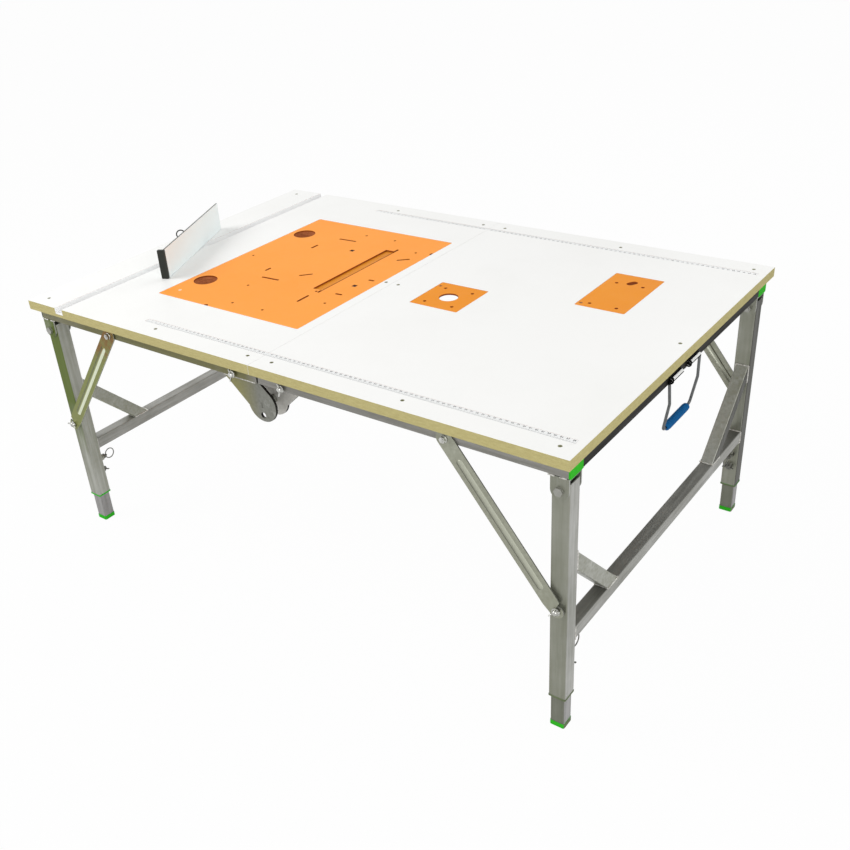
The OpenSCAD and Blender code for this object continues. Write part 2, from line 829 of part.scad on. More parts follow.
// A strut at 45 degrees, cut flat against the leg and against the crossbar
module corner_strut() {
    x = leg_x + leg_w / 2 - 1 - bar_w / 2;
    far = leg_inner + 2 * strut_rise;
    difference() {
        translate([x, leg_inner, strut_z]) rotate([45, 0, 0])
            translate([0, -far, 0]) tube_along_y(bar_w, bar_w, far + bar_w);
        translate([x - bar_w, leg_inner - weld_gap, strut_z - 4 * bar_w]) cube([2 * bar_w, 4 * bar_w, 8 * bar_w]);
        translate([x - bar_w, -leg_y, bar_z + bar_w / 2 + weld_gap - 2 * table_h])
            cube([2 * bar_w, 3 * leg_y, 2 * table_h]);
    }
}

module crossbar() {
    x = leg_x + leg_w / 2 - 1 - bar_w / 2;
    reach = leg_inner - weld_gap;
    color(steel) {
        translate([x, -reach, bar_z]) tube_along_y(bar_w, bar_w, 2 * reach);
        both_ways() corner_strut();
    }
}

module left_crossbar() {
    mirror([1, 0, 0]) crossbar();
}

module right_crossbar() {
    crossbar();
}

// A plastic collar: a flange under the leg tube and a thin sleeve inside it
module leg_collars() {
    flange = leg_w + 2 * collar_lip;
    bore = foot_w + 2 * slide_gap;
    sleeve = leg_w - 2 * tube_wall - 2 * fit_gap;
    color(green) both_ways() translate([leg_x, leg_y, leg_bottom_z]) difference() {
        union() {
            translate([0, 0, -collar_t]) linear_extrude(collar_t) rounded_rect(flange, flange, tube_r);
            linear_extrude(12) rounded_rect(sleeve, sleeve, 1);
        }
        translate([0, 0, -collar_t - 1]) linear_extrude(collar_t + 14) rounded_rect(bore, bore, tube_r);
    }
}

module left_leg_collars() {
    mirror([1, 0, 0]) leg_collars();
}

module right_leg_collars() {
    leg_collars();
}

// Feet

module foot(sx, sy) {
    base = 3;
    color(steel) at_corner(sx, sy) translate([leg_x, leg_y, base])
        tube_up(foot_w, foot_w, leg_bottom_z + foot_insert - base);
}

// The cap: a tapered tread, a rim around the tube's end and a plug inside it
module foot_cap(sx, sy) {
    base = 3;
    rim = foot_w + 1.4;
    inner = foot_w - 2 * tube_wall - 2 * fit_gap;
    color(green) at_corner(sx, sy) translate([leg_x, leg_y, 0]) {
        difference() {
            linear_extrude(cap_h) rounded_rect(rim, rim, tube_r + 0.7);
            translate([0, 0, base]) linear_extrude(cap_h)
                rounded_rect(foot_w + 2 * fit_gap, foot_w + 2 * fit_gap, tube_r);
        }
        translate([0, 0, base - 0.5]) linear_extrude(16) difference() {
            rounded_rect(inner, inner, 1);
            rounded_rect(inner - 4, inner - 4, 1);
        }
    }
}

// Braces: flat bars with a pressed bead, a pivot hole and a side notch that hooks on the leg's screw

// The bead's solid along X, r about an axis sunk behind the sheet's outer face
module bead_solid(r) {
    x0 = bead_start + bead_w / 2;
    x1 = brace_l - bead_end - bead_w / 2;
    sink = bead_r - bead_h;
    translate([x0, brace_t - sink, 0]) {
        rotate([0, 90, 0]) cylinder(r = r, h = x1 - x0, $fn = round_fn);
        sphere(r, $fn = round_fn);
        translate([x1 - x0, 0, 0]) sphere(r, $fn = round_fn);
    }
}

// Drawn along +X from the rail pivot, the sheet standing between y = 0 and brace_t
module brace_bar() {
    span = 2 * bead_r;
    difference() {
        union() {
            rotate([-90, 0, 0]) linear_extrude(brace_t) difference() {
                hull() {
                    circle(brace_body_w / 2, $fn = 96);
                    translate([0, -brace_body_w / 2]) square([brace_l - brace_taper, brace_body_w]);
                    translate([brace_l, 0]) circle(brace_w / 2, $fn = 96);
                }
                circle(screw_r + turn_gap, $fn = round_fn);
                translate([brace_l, 0]) rotate(-notch_turn) {
                    circle(screw_r + slide_gap, $fn = round_fn);
                    translate([0, -screw_r - slide_gap]) square([notch_l, 2 * screw_r + 2 * slide_gap]);
                }
            }
            intersection() {
                bead_solid(bead_r);
                translate([0, brace_t - 0.4, -span]) cube([brace_l, span, 2 * span]);
            }
        }
        difference() {
            bead_solid(bead_r - bead_skin);
            translate([0, -2 * span, -span]) cube([brace_l, 2 * span, 2 * span]);
        }
    }
}

module brace(sx, sy) {
    color(zinc) at_corner(sx, sy) translate([brace_x, brace_face, brace_z])
        rotate([0, brace_slope, 0]) brace_bar();
}

// Lock plungers: a pin with a pull ring, its tip just short of the foot tube
module plunger(sx, sy) {
    tip = foot_inner - slide_gap;
    knob_y = leg_inner - 10 - slide_gap;
    knob_t = 5;
    tail = 6;
    ring_r = 11;
    ring_wire = 1.1;
    ring_y = knob_y - knob_t - tail + 2.2;
    color(zinc) at_corner(sx, sy) translate([leg_x, 0, plunger_z]) {
        difference() {
            union() {
                translate([0, knob_y - 1, 0]) rod_y(screw_r, tip - knob_y + 1);
                translate([0, knob_y - knob_t, 0]) rod_y(5.5, knob_t);
                translate([0, knob_y - knob_t - tail, 0]) rod_y(2.6, tail + 1);
            }
            translate([0, ring_y, -5]) cylinder(r = ring_wire + 0.4, h = 10, $fn = round_fn);
        }
        translate([0, ring_y - ring_r, 0]) rotate([0, 90, 0])
            rotate_extrude($fn = 64) translate([ring_r, 0]) circle(ring_wire, $fn = 24);
    }
}

// Wing screws: foot clamps on the inner faces, brace screws on the legs, stow screws on the rails

module foot_clamp(sx, sy) {
    flange_y = leg_inner - 5 - slide_gap;
    color(zinc) at_corner(sx, sy) translate([leg_x, flange_y, clamp_z])
        mirror([0, 1, 0]) wing_screw(foot_inner - slide_gap - flange_y);
}

module brace_screw(sx, sy) {
    turn = sx > 0 ? -38 : -12;
    color(zinc) at_corner(sx, sy) translate([leg_x, brace_out, stud_z]) rotate([0, turn, 0])
        wing_screw(brace_out - leg_face + tube_wall + 4);
}

module stow_screw(sx, sy) {
    color(zinc) at_corner(sx, sy) translate([stow_x, brace_out, brace_z]) rotate([0, 90, 0])
        wing_screw(brace_out - rail_face + tube_wall + 6);
}

// Carry handle

module handle_bail() {
    pivot = [handle_x, handle_half, handle_z];
    inner = [handle_x, clip_end - clip_l + 2, handle_z];
    knee = [handle_x + knee_out, handle_half - 4, handle_z - knee_drop];
    corner = [handle_x - grip_in, handle_half - 7, handle_z - handle_drop];
    color(steel) both_ways() {
        wire(pivot, inner);
        wire(knee, pivot);
        wire(corner, knee);
        wire(corner, [corner[0], -0.01, corner[2]]);
    }
}

module handle_grip() {
    end_r = 4;
    color(blue) translate([handle_x - grip_in, -grip_l / 2, handle_z - handle_drop]) rotate([-90, 0, 0])
        rotate_extrude($fn = 64) difference() {
            union() {
                translate([0, end_r]) square([grip_r, grip_l - 2 * end_r]);
                square([grip_r - end_r, grip_l]);
                for (z = [end_r, grip_l - end_r])
                    translate([grip_r - end_r, z]) circle(end_r, $fn = round_fn);
            }
            translate([-grip_r, -1]) square([grip_r + wire_r + fit_gap, grip_l + 2]);
        }
}

// Each clip is a strip bent over the wire, with a flange screwed to the end rail above it
module handle_clips() {
    face = frame_end + fit_gap;
    flange_top = rail_z + rail_h - 3;
    color(steel) both_ways() translate([0, clip_end - clip_l, 0]) {
        difference() {
            union() {
                translate([handle_x, 0, handle_z]) rod_y(clip_r, clip_l);
                translate([face, 0, handle_z - clip_r]) cube([handle_x - face, clip_l, 2 * clip_r]);
                translate([face, 0, handle_z]) cube([clip_wall, clip_l, flange_top - handle_z]);
            }
            translate([face, -1, handle_z - clip_r - 1]) mirror([1, 0, 0]) cube([9, clip_l + 2, 3 * clip_r]);
            translate([handle_x, -1, handle_z]) rod_y(wire_r + turn_gap, clip_l + 2);
            translate([face - 2, -1, handle_z - wire_r - turn_gap])
                cube([handle_x - face + 2, clip_l + 2, 2 * (wire_r + turn_gap)]);
        }
        for (y = [clip_l * 0.2, clip_l * 0.8])
            translate([face + clip_wall, y, (handle_z + clip_r + flange_top) / 2])
                rotate([0, 90, 0]) cylinder(r = 2.4, h = 1.2, $fn = round_fn);
    }
}

// Rubber bushes over the clips, both on the front side of their clip as fitted
module handle_bushes() {
    face = frame_end + fit_gap;
    outer = clip_r + 1.5;
    color(black) for (y = [-clip_end, clip_end - clip_l])
        translate([handle_x, y, handle_z]) difference() {
            intersection() {
                rod_y(outer, bush_l);
                translate([face - handle_x, -1, -outer]) cube([half_l - face, bush_l + 2, 2 * outer]);
            }
            translate([0, -1, 0]) rod_y(clip_r + fit_gap, bush_l + 2);
            translate([-outer, -1, -clip_r - fit_gap])
                cube([outer, bush_l + 2, 2 * (clip_r + fit_gap)]);
            translate([-outer, -1, 0]) cube([face - handle_x + outer + clip_wall + fit_gap, bush_l + 2, outer]);
        }
}

// Fence: a bar slides in the track, the fence turns on its stud and a knob clamps it

module at_fence() {
    translate([track_x, -fence_y, table_h]) children();
}

module fence_slider() {
    color(steel) {
        translate([track_x - slider_w / 2, -fence_y - slider_l / 2, slider_z]) cube([slider_w, slider_l, slider_h]);
        at_fence() translate([0, 0, -2]) cylinder(r = screw_r, h = stud_h + 2, $fn = round_fn);
    }
}

// The fence's extrusion: a flat face with a box along the lower part of its back
module fence_extrusion() {
    l = fence_l - end_cap_t;
    difference() {
        union() {
            cube([fence_t, l, fence_box_h]);
            translate([fence_t - fence_face_t, 0, 0]) cube([fence_face_t, l, fence_h]);
        }
        translate([fence_wall, -1, fence_wall])
            cube([fence_t - fence_wall - fence_face_t, l + 2, fence_box_h - 2 * fence_wall]);
    }
}

module fence_bar() {
    foot_l = 44;
    z0 = slide_gap;
    color(aluminium) at_fence() rotate(fence_angle) difference() {
        union() {
            translate([fence_back, -fence_front_part + end_cap_t, z0]) fence_extrusion();
            translate([-10, -foot_l / 2, z0]) cube([fence_back + 10.5, foot_l, fence_foot_t]);
            translate([fence_back - fence_foot_t, -foot_l / 2, z0])
                cube([fence_foot_t + 0.5, foot_l, fence_box_h * 0.8]);
        }
        translate([0, 0, -1]) cylinder(r = screw_r + turn_gap, h = 20, $fn = round_fn);
    }
}

module fence_end_cap() {
    lip = 1;
    plug = 12;
    color(black) at_fence() rotate(fence_angle) translate([fence_back + fence_t / 2, -fence_front_part, slide_gap]) {
        translate([0, 0, fence_h / 2]) rotate([-90, 0, 0])
            linear_extrude(end_cap_t) rounded_rect(fence_t + 2 * lip, fence_h, 1.5);
        translate([-fence_t / 2 + fence_wall + fit_gap, end_cap_t - 0.5, fence_wall + fit_gap])
            cube([
                fence_t - fence_wall - fence_face_t - 2 * fit_gap, plug,
                fence_box_h - 2 * (fence_wall + fit_gap)
            ]);
    }
}

// The knob: a threaded hub on a round base, with a wire ring to turn it by
module fence_knob() {
    neck_r = 4.8;
    ring_wire = 1.3;
    base = 2 * slide_gap + fence_foot_t;
    neck_top = knob_top - 2 * knob_r + 3;
    color(black) at_fence() difference() {
        union() {
            translate([0, 0, base]) cylinder(r = neck_r, h = neck_top - base, $fn = round_fn);
            translate([0, 0, base]) cylinder(r = knob_base_r, h = 4, $fn = round_fn);
            translate([0, 0, knob_top - knob_r]) rotate([90, 0, knob_turn]) rotate_extrude($fn = 64)
                translate([knob_r - ring_wire, 0]) circle(ring_wire, $fn = 24);
        }
        translate([0, 0, -1]) cylinder(r = screw_r + turn_gap, h = stud_h + 2, $fn = round_fn);
    }
}

left_board();
right_board();
left_top_frame();
right_top_frame();
left_rail_plugs();
right_rail_plugs();
left_bolts();
right_bolts();
left_hinge_plates();
right_hinge_plates();
left_top_screws();
right_top_screws();
left_rulers();
right_rulers();
mitre_track();
saw_plate();
router_plate();
jigsaw_plate();
handle_bail();
handle_grip();
handle_clips();
handle_bushes();
fence_slider();
fence_bar();
fence_end_cap();
fence_knob();
left_legs();
right_legs();
left_crossbar();
right_crossbar();
left_leg_collars();
right_leg_collars();
foot(-1, -1);  // left_front_foot
foot(-1, 1);  // left_rear_foot
foot(1, -1);  // right_front_foot
foot(1, 1);  // right_rear_foot
foot_cap(-1, -1);  // left_front_foot_cap
foot_cap(-1, 1);  // left_rear_foot_cap
foot_cap(1, -1);  // right_front_foot_cap
foot_cap(1, 1);  // right_rear_foot_cap
brace(-1, -1);  // left_front_brace
brace(-1, 1);  // left_rear_brace
brace(1, -1);  // right_front_brace
brace(1, 1);  // right_rear_brace
plunger(-1, -1);  // left_front_plunger
plunger(-1, 1);  // left_rear_plunger
plunger(1, -1);  // right_front_plunger
plunger(1, 1);  // right_rear_plunger
foot_clamp(-1, -1);  // left_front_foot_clamp
foot_clamp(-1, 1);  // left_rear_foot_clamp
foot_clamp(1, -1);  // right_front_foot_clamp
foot_clamp(1, 1);  // right_rear_foot_clamp
brace_screw(-1, -1);  // left_front_brace_screw
brace_screw(-1, 1);  // left_rear_brace_screw
brace_screw(1, -1);  // right_front_brace_screw
brace_screw(1, 1);  // right_rear_brace_screw
stow_screw(-1, -1);  // left_front_stow_screw
stow_screw(-1, 1);  // left_rear_stow_screw
stow_screw(1, -1);  // right_front_stow_screw
stow_screw(1, 1);  // right_rear_stow_screw
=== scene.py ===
"""Looks of the folding saw table: bevelled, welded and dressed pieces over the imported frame."""

import json
import logging
import math
from collections.abc import Callable, Iterator
from contextlib import contextmanager
from dataclasses import dataclass, field
from enum import Enum

import bmesh
import bpy
from mathutils import Matrix, Vector


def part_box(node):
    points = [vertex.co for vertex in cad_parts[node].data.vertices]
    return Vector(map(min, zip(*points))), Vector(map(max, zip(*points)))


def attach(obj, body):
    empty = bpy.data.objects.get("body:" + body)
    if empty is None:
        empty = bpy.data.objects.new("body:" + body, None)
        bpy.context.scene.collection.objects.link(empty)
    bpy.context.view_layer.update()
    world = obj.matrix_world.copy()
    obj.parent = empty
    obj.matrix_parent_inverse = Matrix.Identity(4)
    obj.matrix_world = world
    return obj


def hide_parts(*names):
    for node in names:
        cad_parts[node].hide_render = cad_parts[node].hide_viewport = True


MM = 0.001
Colour = tuple[int, int, int]
Triple = tuple[float, float, float]
Box = tuple[Vector, Vector]
Piece = bpy.types.Object
Socket = bpy.types.NodeSocket
Choice = Callable[[Vector, Vector], int]

SQUARE = ((-1, -1), (1, -1), (1, 1), (-1, 1))
WHITE = (1, 1, 1, 1)

log = logging.getLogger("saw_table")


class Named(Enum):
    """A sign whose name is part of the frame's node names."""

    @property
    def word(self) -> str:
        """The name as the nodes have it."""
        return self.name.lower()


class Side(Named):
    """The two halves of the table, by the sign of X."""

    LEFT = -1
    RIGHT = 1


class End(Named):
    """The front and rear long edges, by the sign of Y."""

    FRONT = -1
    REAR = 1


class Grain(Enum):
    """The way that drawing lines run on a piece, as stretches along X, Y and Z."""

    ALONG_X = (0.05, 1.0, 1.0)
    ALONG_Y = (1.0, 0.05, 1.0)
    ALONG_Z = (1.0, 1.0, 0.05)
    NONE = (1.0, 0.9, 1.1)


@dataclass(frozen=True)
class Corner:
    """One corner of the table, where a leg, a foot and a brace meet."""

    side: Side
    end: End

    def node(self, part: str) -> str:
        """The name of one of this corner's nodes, such as its brace."""
        return f"{self.side.word}_{self.end.word}_{part}"


def linear(colour: Colour) -> tuple[float, ...]:
    """Turns a display colour into the linear colour that a shader takes.

    Args:
        colour: Red, green and blue from 0 to 255.

    Returns:
        The linear red, green and blue, and an alpha of 1.
    """
    shares = [value / 255 for value in colour]
    return (*(v / 12.92 if v <= 0.04045 else ((v + 0.055) / 1.055) ** 2.4 for v in shares), 1.0)


# Bench work


def deselect() -> None:
    """Leaves edit mode and deselects every object."""
    if bpy.context.mode != "OBJECT":
        bpy.ops.object.mode_set(mode="OBJECT")
    bpy.ops.object.select_all(action="DESELECT")


def pick(piece: Piece) -> None:
    """Makes one object the only selected and active one."""
    deselect()
    piece.select_set(True)
    bpy.context.view_layer.objects.active = piece


def newest() -> Piece:
    """The object that the last operator added."""
    return bpy.context.view_layer.objects.active


@contextmanager
def editing(piece: Piece, select: str = "DESELECT") -> Iterator[bmesh.types.BMesh]:
    """Opens an object in edit mode and closes it again.

    Args:
        piece: The mesh object.
        select: SELECT or DESELECT, done to all of the mesh at the start.

    Yields:
        The mesh being edited, for selecting faces and edges by their place.
    """
    pick(piece)
    bpy.ops.object.mode_set(mode="EDIT")
    bpy.ops.mesh.select_all(action=select)
    yield bmesh.from_edit_mesh(piece.data)
    bpy.ops.object.mode_set(mode="OBJECT")


def select_faces(piece: Piece, bm: bmesh.types.BMesh, wanted: Callable[[Vector], bool]) -> None:
    """Selects just the faces whose middle meets a test."""
    bpy.ops.mesh.select_mode(type="FACE")
    bpy.ops.mesh.select_all(action="DESELECT")
    for face in bm.faces:
        if wanted(face.calc_center_median()):
            face.select_set(True)
    bm.select_flush(True)
    bmesh.update_edit_mesh(piece.data)


def extrude(rise: Triple, grow: Triple, centre: Triple) -> None:
    """Extrudes the selected region, then scales it about a point."""
    bpy.ops.mesh.extrude_region_move(TRANSFORM_OT_translate={"value": rise})
    bpy.ops.transform.resize(value=grow, center_override=centre)


def modify(piece: Piece, kind: str, **settings: object) -> None:
    """Adds a modifier to a piece with its settings, and applies it."""
    modifier = piece.modifiers.new(kind.lower(), kind)
    for name, value in settings.items():
        setattr(modifier, name, value)
    pick(piece)
    bpy.ops.object.modifier_apply(modifier=modifier.name)


def carve(piece: Piece, cutter: Piece, use_self: bool = False) -> None:
    """Cuts one piece out of another and removes the cutter."""
    modify(piece, "BOOLEAN", operation="DIFFERENCE", solver="EXACT", use_self=use_self, object=cutter)
    bpy.data.objects.remove(cutter)


def settle(piece: Piece) -> None:
    """Moves a piece's place, turn and size into its mesh."""
    pick(piece)
    bpy.ops.object.transform_apply(location=True, rotation=True, scale=True)


def smooth(piece: Piece, degrees: float = 32) -> None:
    """Shades a piece smooth across edges that turn less than an angle."""
    pick(piece)
    bpy.ops.object.shade_smooth_by_angle(angle=math.radians(degrees))


def bevel(piece: Piece, width: float, segments: int = 2, degrees: float = 32) -> None:
    """Rounds a piece's sharp edges, and lets its large faces stay flat beside them.

    Args:
        piece: The piece.
        width: Width of the bevel in metres.
        segments: Number of faces across the bevel.
        degrees: Edges that turn less than this stay as they are.
    """
    angle = math.radians(degrees)
    modify(piece, "BEVEL", width=width, segments=segments, limit_method="ANGLE", angle_limit=angle)
    smooth(piece, degrees)
    modify(piece, "WEIGHTED_NORMAL", keep_sharp=True, weight=80)


def join(pieces: list[Piece], name: str) -> Piece:
    """Joins several objects into the first one and names it."""
    pick(pieces[0])
    for piece in pieces:
        piece.select_set(True)
    bpy.ops.object.join()
    newest().name = name
    return newest()


def duplicate(piece: Piece, move: Matrix) -> Piece:
    """Copies a piece with a mesh of its own, placed by a matrix."""
    twin = piece.copy()
    twin.data = piece.data.copy()
    twin.data.transform(move)
    bpy.context.scene.collection.objects.link(twin)
    return twin


def close_up(piece: Piece) -> None:
    """Fills open ends, merges doubles and turns every face outwards."""
    with editing(piece, "SELECT"):
        bpy.ops.mesh.remove_doubles(threshold=1e-6)
        bpy.ops.mesh.fill_holes(sides=0)
        bpy.ops.mesh.select_all(action="SELECT")
        bpy.ops.mesh.normals_make_consistent(inside=False)


def cylinder(radius: float, depth: float, place: Vector, vertices: int) -> Piece:
    """Adds an upright cylinder with its middle at a place."""
    deselect()
    bpy.ops.mesh.primitive_cylinder_add(vertices=vertices, radius=radius, depth=depth, location=place)
    return newest()


def block(place: Triple, size: Triple, turn: float = 0) -> Piece:
    """Adds a block with its middle at a place, turned about Z."""
    deselect()
    bpy.ops.mesh.primitive_cube_add(size=1, location=place, rotation=(0, 0, turn), scale=size)
    settle(newest())
    return newest()


def turned(profile: list[tuple[float, float]], vertices: int = 40) -> Piece:
    """Turns a closed round shape that stands along Z.

    Args:
        profile: Radius and height of each ring from the bottom up, in metres.
        vertices: Number of sides.

    Returns:
        The piece, with its axis through the origin.
    """
    deselect()
    radius, height = profile[0]
    bpy.ops.mesh.primitive_circle_add(
        vertices=vertices, radius=radius, fill_type="NGON", location=(0, 0, height)
    )
    piece = newest()
    settle(piece)
    with editing(piece, "SELECT"):
        for last, ring in zip(profile, profile[1:]):
            share = ring[0] / last[0]
            extrude((0, 0, ring[1] - last[1]), (share, share, 1), (0, 0, ring[1]))
    close_up(piece)
    return piece


def thread(radius: float, pitch: float, length: float) -> Piece:
    """Cuts one thread ridge along Z from the origin.

    Args:
        radius: Radius at the thread's crest.
        pitch: Rise of one turn.
        length: Length of the threaded part.

    Returns:
        The closed helical ridge.
    """
    deselect()
    depth = pitch * 0.62
    bpy.ops.mesh.primitive_circle_add(
        vertices=3, radius=depth, location=(radius - depth, 0, 0), rotation=(math.pi / 2, 0, 0)
    )
    ridge = newest()
    settle(ridge)
    turns = max(1, round(length / pitch))
    modify(ridge, "SCREW", axis="Z", steps=20, render_steps=20, screw_offset=pitch, iterations=turns)
    close_up(ridge)
    return ridge


def node_islands(node: str) -> list[Box]:
    """Finds the lowest and highest corner of each separate solid of a frame node."""
    bm = bmesh.new()
    bm.from_mesh(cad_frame["nodes"][node].data)
    bmesh.ops.remove_doubles(bm, verts=bm.verts, dist=1e-6)
    seen: set[bmesh.types.BMVert] = set()
    found: list[Box] = []
    for first in bm.verts:
        stack, island = [first], []
        while stack:
            vert = stack.pop()
            if vert not in seen:
                seen.add(vert)
                island.append(vert.co.copy())
                stack += [edge.other_vert(vert) for edge in vert.link_edges]
        if island:
            columns = list(zip(*island))
            found.append((Vector(map(min, columns)), Vector(map(max, columns))))
    bm.free()
    return found


def copy_of(node: str) -> Piece:
    """Copies a frame node's shape into a new piece at the origin, with clean, merged faces."""
    piece = bpy.data.objects.new(f"{node}_finished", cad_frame["nodes"][node].data.copy())
    piece.data.materials.clear()
    bpy.context.scene.collection.objects.link(piece)
    with editing(piece, "SELECT"):
        bpy.ops.mesh.remove_doubles(threshold=1e-6)
        bpy.ops.mesh.dissolve_limited(angle_limit=math.radians(0.4))
    if piece.data.has_custom_normals:
        bpy.ops.mesh.customdata_custom_splitnormals_clear()
    return piece


def box_of(node: str) -> Box:
    """The lowest and highest corner of a frame node."""
    low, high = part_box(node)
    return Vector(low), Vector(high)


def rim(point: Vector, box: Box) -> float:
    """How far inside a box's outline a point lies, seen from above."""
    low, high = box
    return min(point.x - low.x, high.x - point.x, point.y - low.y, high.y - point.y)


# Materials


@dataclass
class Sheet:
    """A node tree while it is being drawn."""

    tree: bpy.types.NodeTree

    @classmethod
    def of(cls, owner: bpy.types.Material | bpy.types.World) -> "Sheet":
        """Starts an empty tree for a material or a world."""
        owner.use_nodes = True
        owner.node_tree.nodes.clear()
        return cls(owner.node_tree)

    def feed(self, target: Socket, value: object) -> None:
        """Sets an input to a value, or joins it to a socket."""
        if isinstance(value, Socket):
            self.tree.links.new(value, target)
        else:
            target.default_value = value

    def node(self, kind: str, **settings: object) -> bpy.types.Node:
        """Adds a node.

        Args:
            kind: The node's type, without its prefix.
            settings: Its properties and inputs by name, each input a value or a socket.

        Returns:
            The node.
        """
        made = self.tree.nodes.new(f"ShaderNode{kind}")
        for key, value in settings.items():
            if hasattr(made, key):
                setattr(made, key, value)
            else:
                self.feed(made.inputs[key.replace("_", " ")], value)
        return made

    def place(self, stretch: Triple = (1, 1, 1)) -> Socket:
        """Object coordinates in metres, stretched along each axis."""
        where = self.node("TexCoord").outputs["Object"]
        return self.node("Mapping", Scale=stretch, Vector=where).outputs["Vector"]

    def axes(self, vector: Socket) -> bpy.types.bpy_prop_collection:
        """The X, Y and Z of a vector."""
        return self.node("SeparateXYZ", Vector=vector).outputs

    def noise(
        self, scale: float, detail: float = 3, stretch: Triple = (1, 1, 1), rough: float = 0.5
    ) -> Socket:
        """A noise of a given number of waves to the metre."""
        where = self.place(stretch)
        return self.node("TexNoise", Scale=scale, Detail=detail, Roughness=rough, Vector=where).outputs["Fac"]

    def ramp(self, source: Socket, low: float, high: float) -> Socket:
        """Stretches part of a value's range to run from 0 to 1."""
        return self.node("MapRange", clamp=True, From_Min=low, From_Max=high, Value=source).outputs["Result"]

    def blend(self, amount: Socket, first: object, second: object) -> Socket:
        """Mixes two colours, each a colour value or a socket."""
        made = self.node("Mix", data_type="RGBA", Factor=amount)
        self.feed(made.inputs[6], first)
        self.feed(made.inputs[7], second)
        return made.outputs[2]

    def sum_of(self, operation: str, first: object, second: object = 0, clamp: bool = False) -> Socket:
        """Works out one step of arithmetic on two values or sockets."""
        made = self.node("Math", operation=operation, use_clamp=clamp)
        for socket, value in zip(made.inputs, (first, second)):
            self.feed(socket, value)
        return made.outputs["Value"]

    def times(self, first: Socket, *others: object) -> Socket:
        """Multiplies values and sockets one after another."""
        for other in others:
            first = self.sum_of("MULTIPLY", first, other)
        return first

    def mix_shaders(self, amount: Socket, first: Socket, second: Socket) -> Socket:
        """Mixes two shaders."""
        made = self.node("MixShader", Fac=amount)
        self.feed(made.inputs[1], first)
        self.feed(made.inputs[2], second)
        return made.outputs["Shader"]


@dataclass
class Surface(Sheet):
    """A material's tree with its one shader."""

    shader: bpy.types.Node = field(init=False)

    def __post_init__(self) -> None:
        """Adds the shader and its output."""
        self.shader = self.node("BsdfPrincipled")
        self.node("OutputMaterial", Surface=self.shader.outputs["BSDF"])

    def colour(self, source: Socket) -> None:
        """Gives the shader its colour."""
        self.feed(self.shader.inputs["Base Color"], source)

    def bump(self, height: Socket, depth: float, strength: float) -> None:
        """Raises the surface by a height map, up to a depth in metres."""
        made = self.node("Bump", Strength=strength, Distance=depth, Height=height)
        self.feed(self.shader.inputs["Normal"], made.outputs["Normal"])


@dataclass(frozen=True)
class Finish:
    """A surface finish: colours, gloss and how its detail is drawn.

    A plain finish drifts between its colours by drift (scale, detail and roughness of a noise), which is
    ramped over band. Its roughness varies by gloss (scale, detail and spread). Its bump is relief (scale,
    detail, depth in metres and strength).
    """

    name: str
    colour: Colour
    second: Colour
    roughness: float = 0.5
    metallic: float = 0.0
    shine: float = 0.5
    drift: Triple = (40, 3, 0.5)
    band: tuple[float, float] | None = None
    gloss: Triple = (160, 3, 0.06)
    relief: tuple[float, float, float, float] = (1600, 1, 0.00003, 0.5)

    def material(self) -> bpy.types.Material:
        """Returns this finish's material, drawn on the first call."""
        known = bpy.data.materials.get(self.name)
        if known:
            return known
        material = bpy.data.materials.new(self.name)
        sheet = Surface.of(material)
        sheet.shader.inputs["Metallic"].default_value = self.metallic
        sheet.shader.inputs["Roughness"].default_value = self.roughness
        sheet.shader.inputs["Specular IOR Level"].default_value = self.shine
        self.draw(sheet)
        return material

    def draw(self, sheet: Surface) -> None:
        """Draws a plain finish; the others have their own way."""
        scale, detail, rough = self.drift
        drift = sheet.noise(scale, detail, rough=rough)
        sheet.colour(self.mixed(sheet, sheet.ramp(drift, *self.band) if self.band else drift))
        scale, detail, spread = self.gloss
        self.roughness_by(sheet, sheet.noise(scale, detail), spread)
        scale, detail, depth, strength = self.relief
        sheet.bump(sheet.noise(scale, detail), depth, strength)

    def mixed(self, sheet: Surface, amount: Socket) -> Socket:
        """Runs from the first colour to the second."""
        return sheet.blend(amount, linear(self.colour), linear(self.second))

    def roughness_by(self, sheet: Surface, amount: Socket, spread: float) -> None:
        """Varies the roughness about its value by up to a spread each way."""
        low, high = self.roughness - spread, self.roughness + spread
        made = sheet.node("MapRange", To_Min=low, To_Max=high, Value=amount)
        sheet.feed(sheet.shader.inputs["Roughness"], made.outputs["Result"])


@dataclass(frozen=True)
class Laminate(Finish):
    """White melamine sheet with a very fine grain and slow smudges."""

    drift: Triple = (3, 5, 0.6)
    band: tuple[float, float] | None = (0.42, 0.85)
    gloss: Triple = (14, 4, 0.05)
    relief: tuple[float, float, float, float] = (1500, 2, 0.00002, 0.4)


@dataclass(frozen=True)
class Moulding(Finish):
    """Injection moulded plastic with a fine spark-eroded texture."""


@dataclass(frozen=True)
class Plated(Finish):
    """Bright zinc plate on pressed or cast steel, with slow tarnish."""

    drift: Triple = (45, 4, 0.6)
    band: tuple[float, float] | None = (0.35, 0.75)
    gloss: Triple = (220, 3, 0.08)
    relief: tuple[float, float, float, float] = (700, 2, 0.00003, 0.5)


@dataclass(frozen=True)
class WeldMetal(Finish):
    """A weld bead: bright at its crown, with heat tint and a rough skin."""

    drift: Triple = (300, 3, 0.5)
    band: tuple[float, float] | None = (0.35, 0.7)
    gloss: Triple = (500, 2, 0.1)
    relief: tuple[float, float, float, float] = (1400, 2, 0.0001, 0.6)


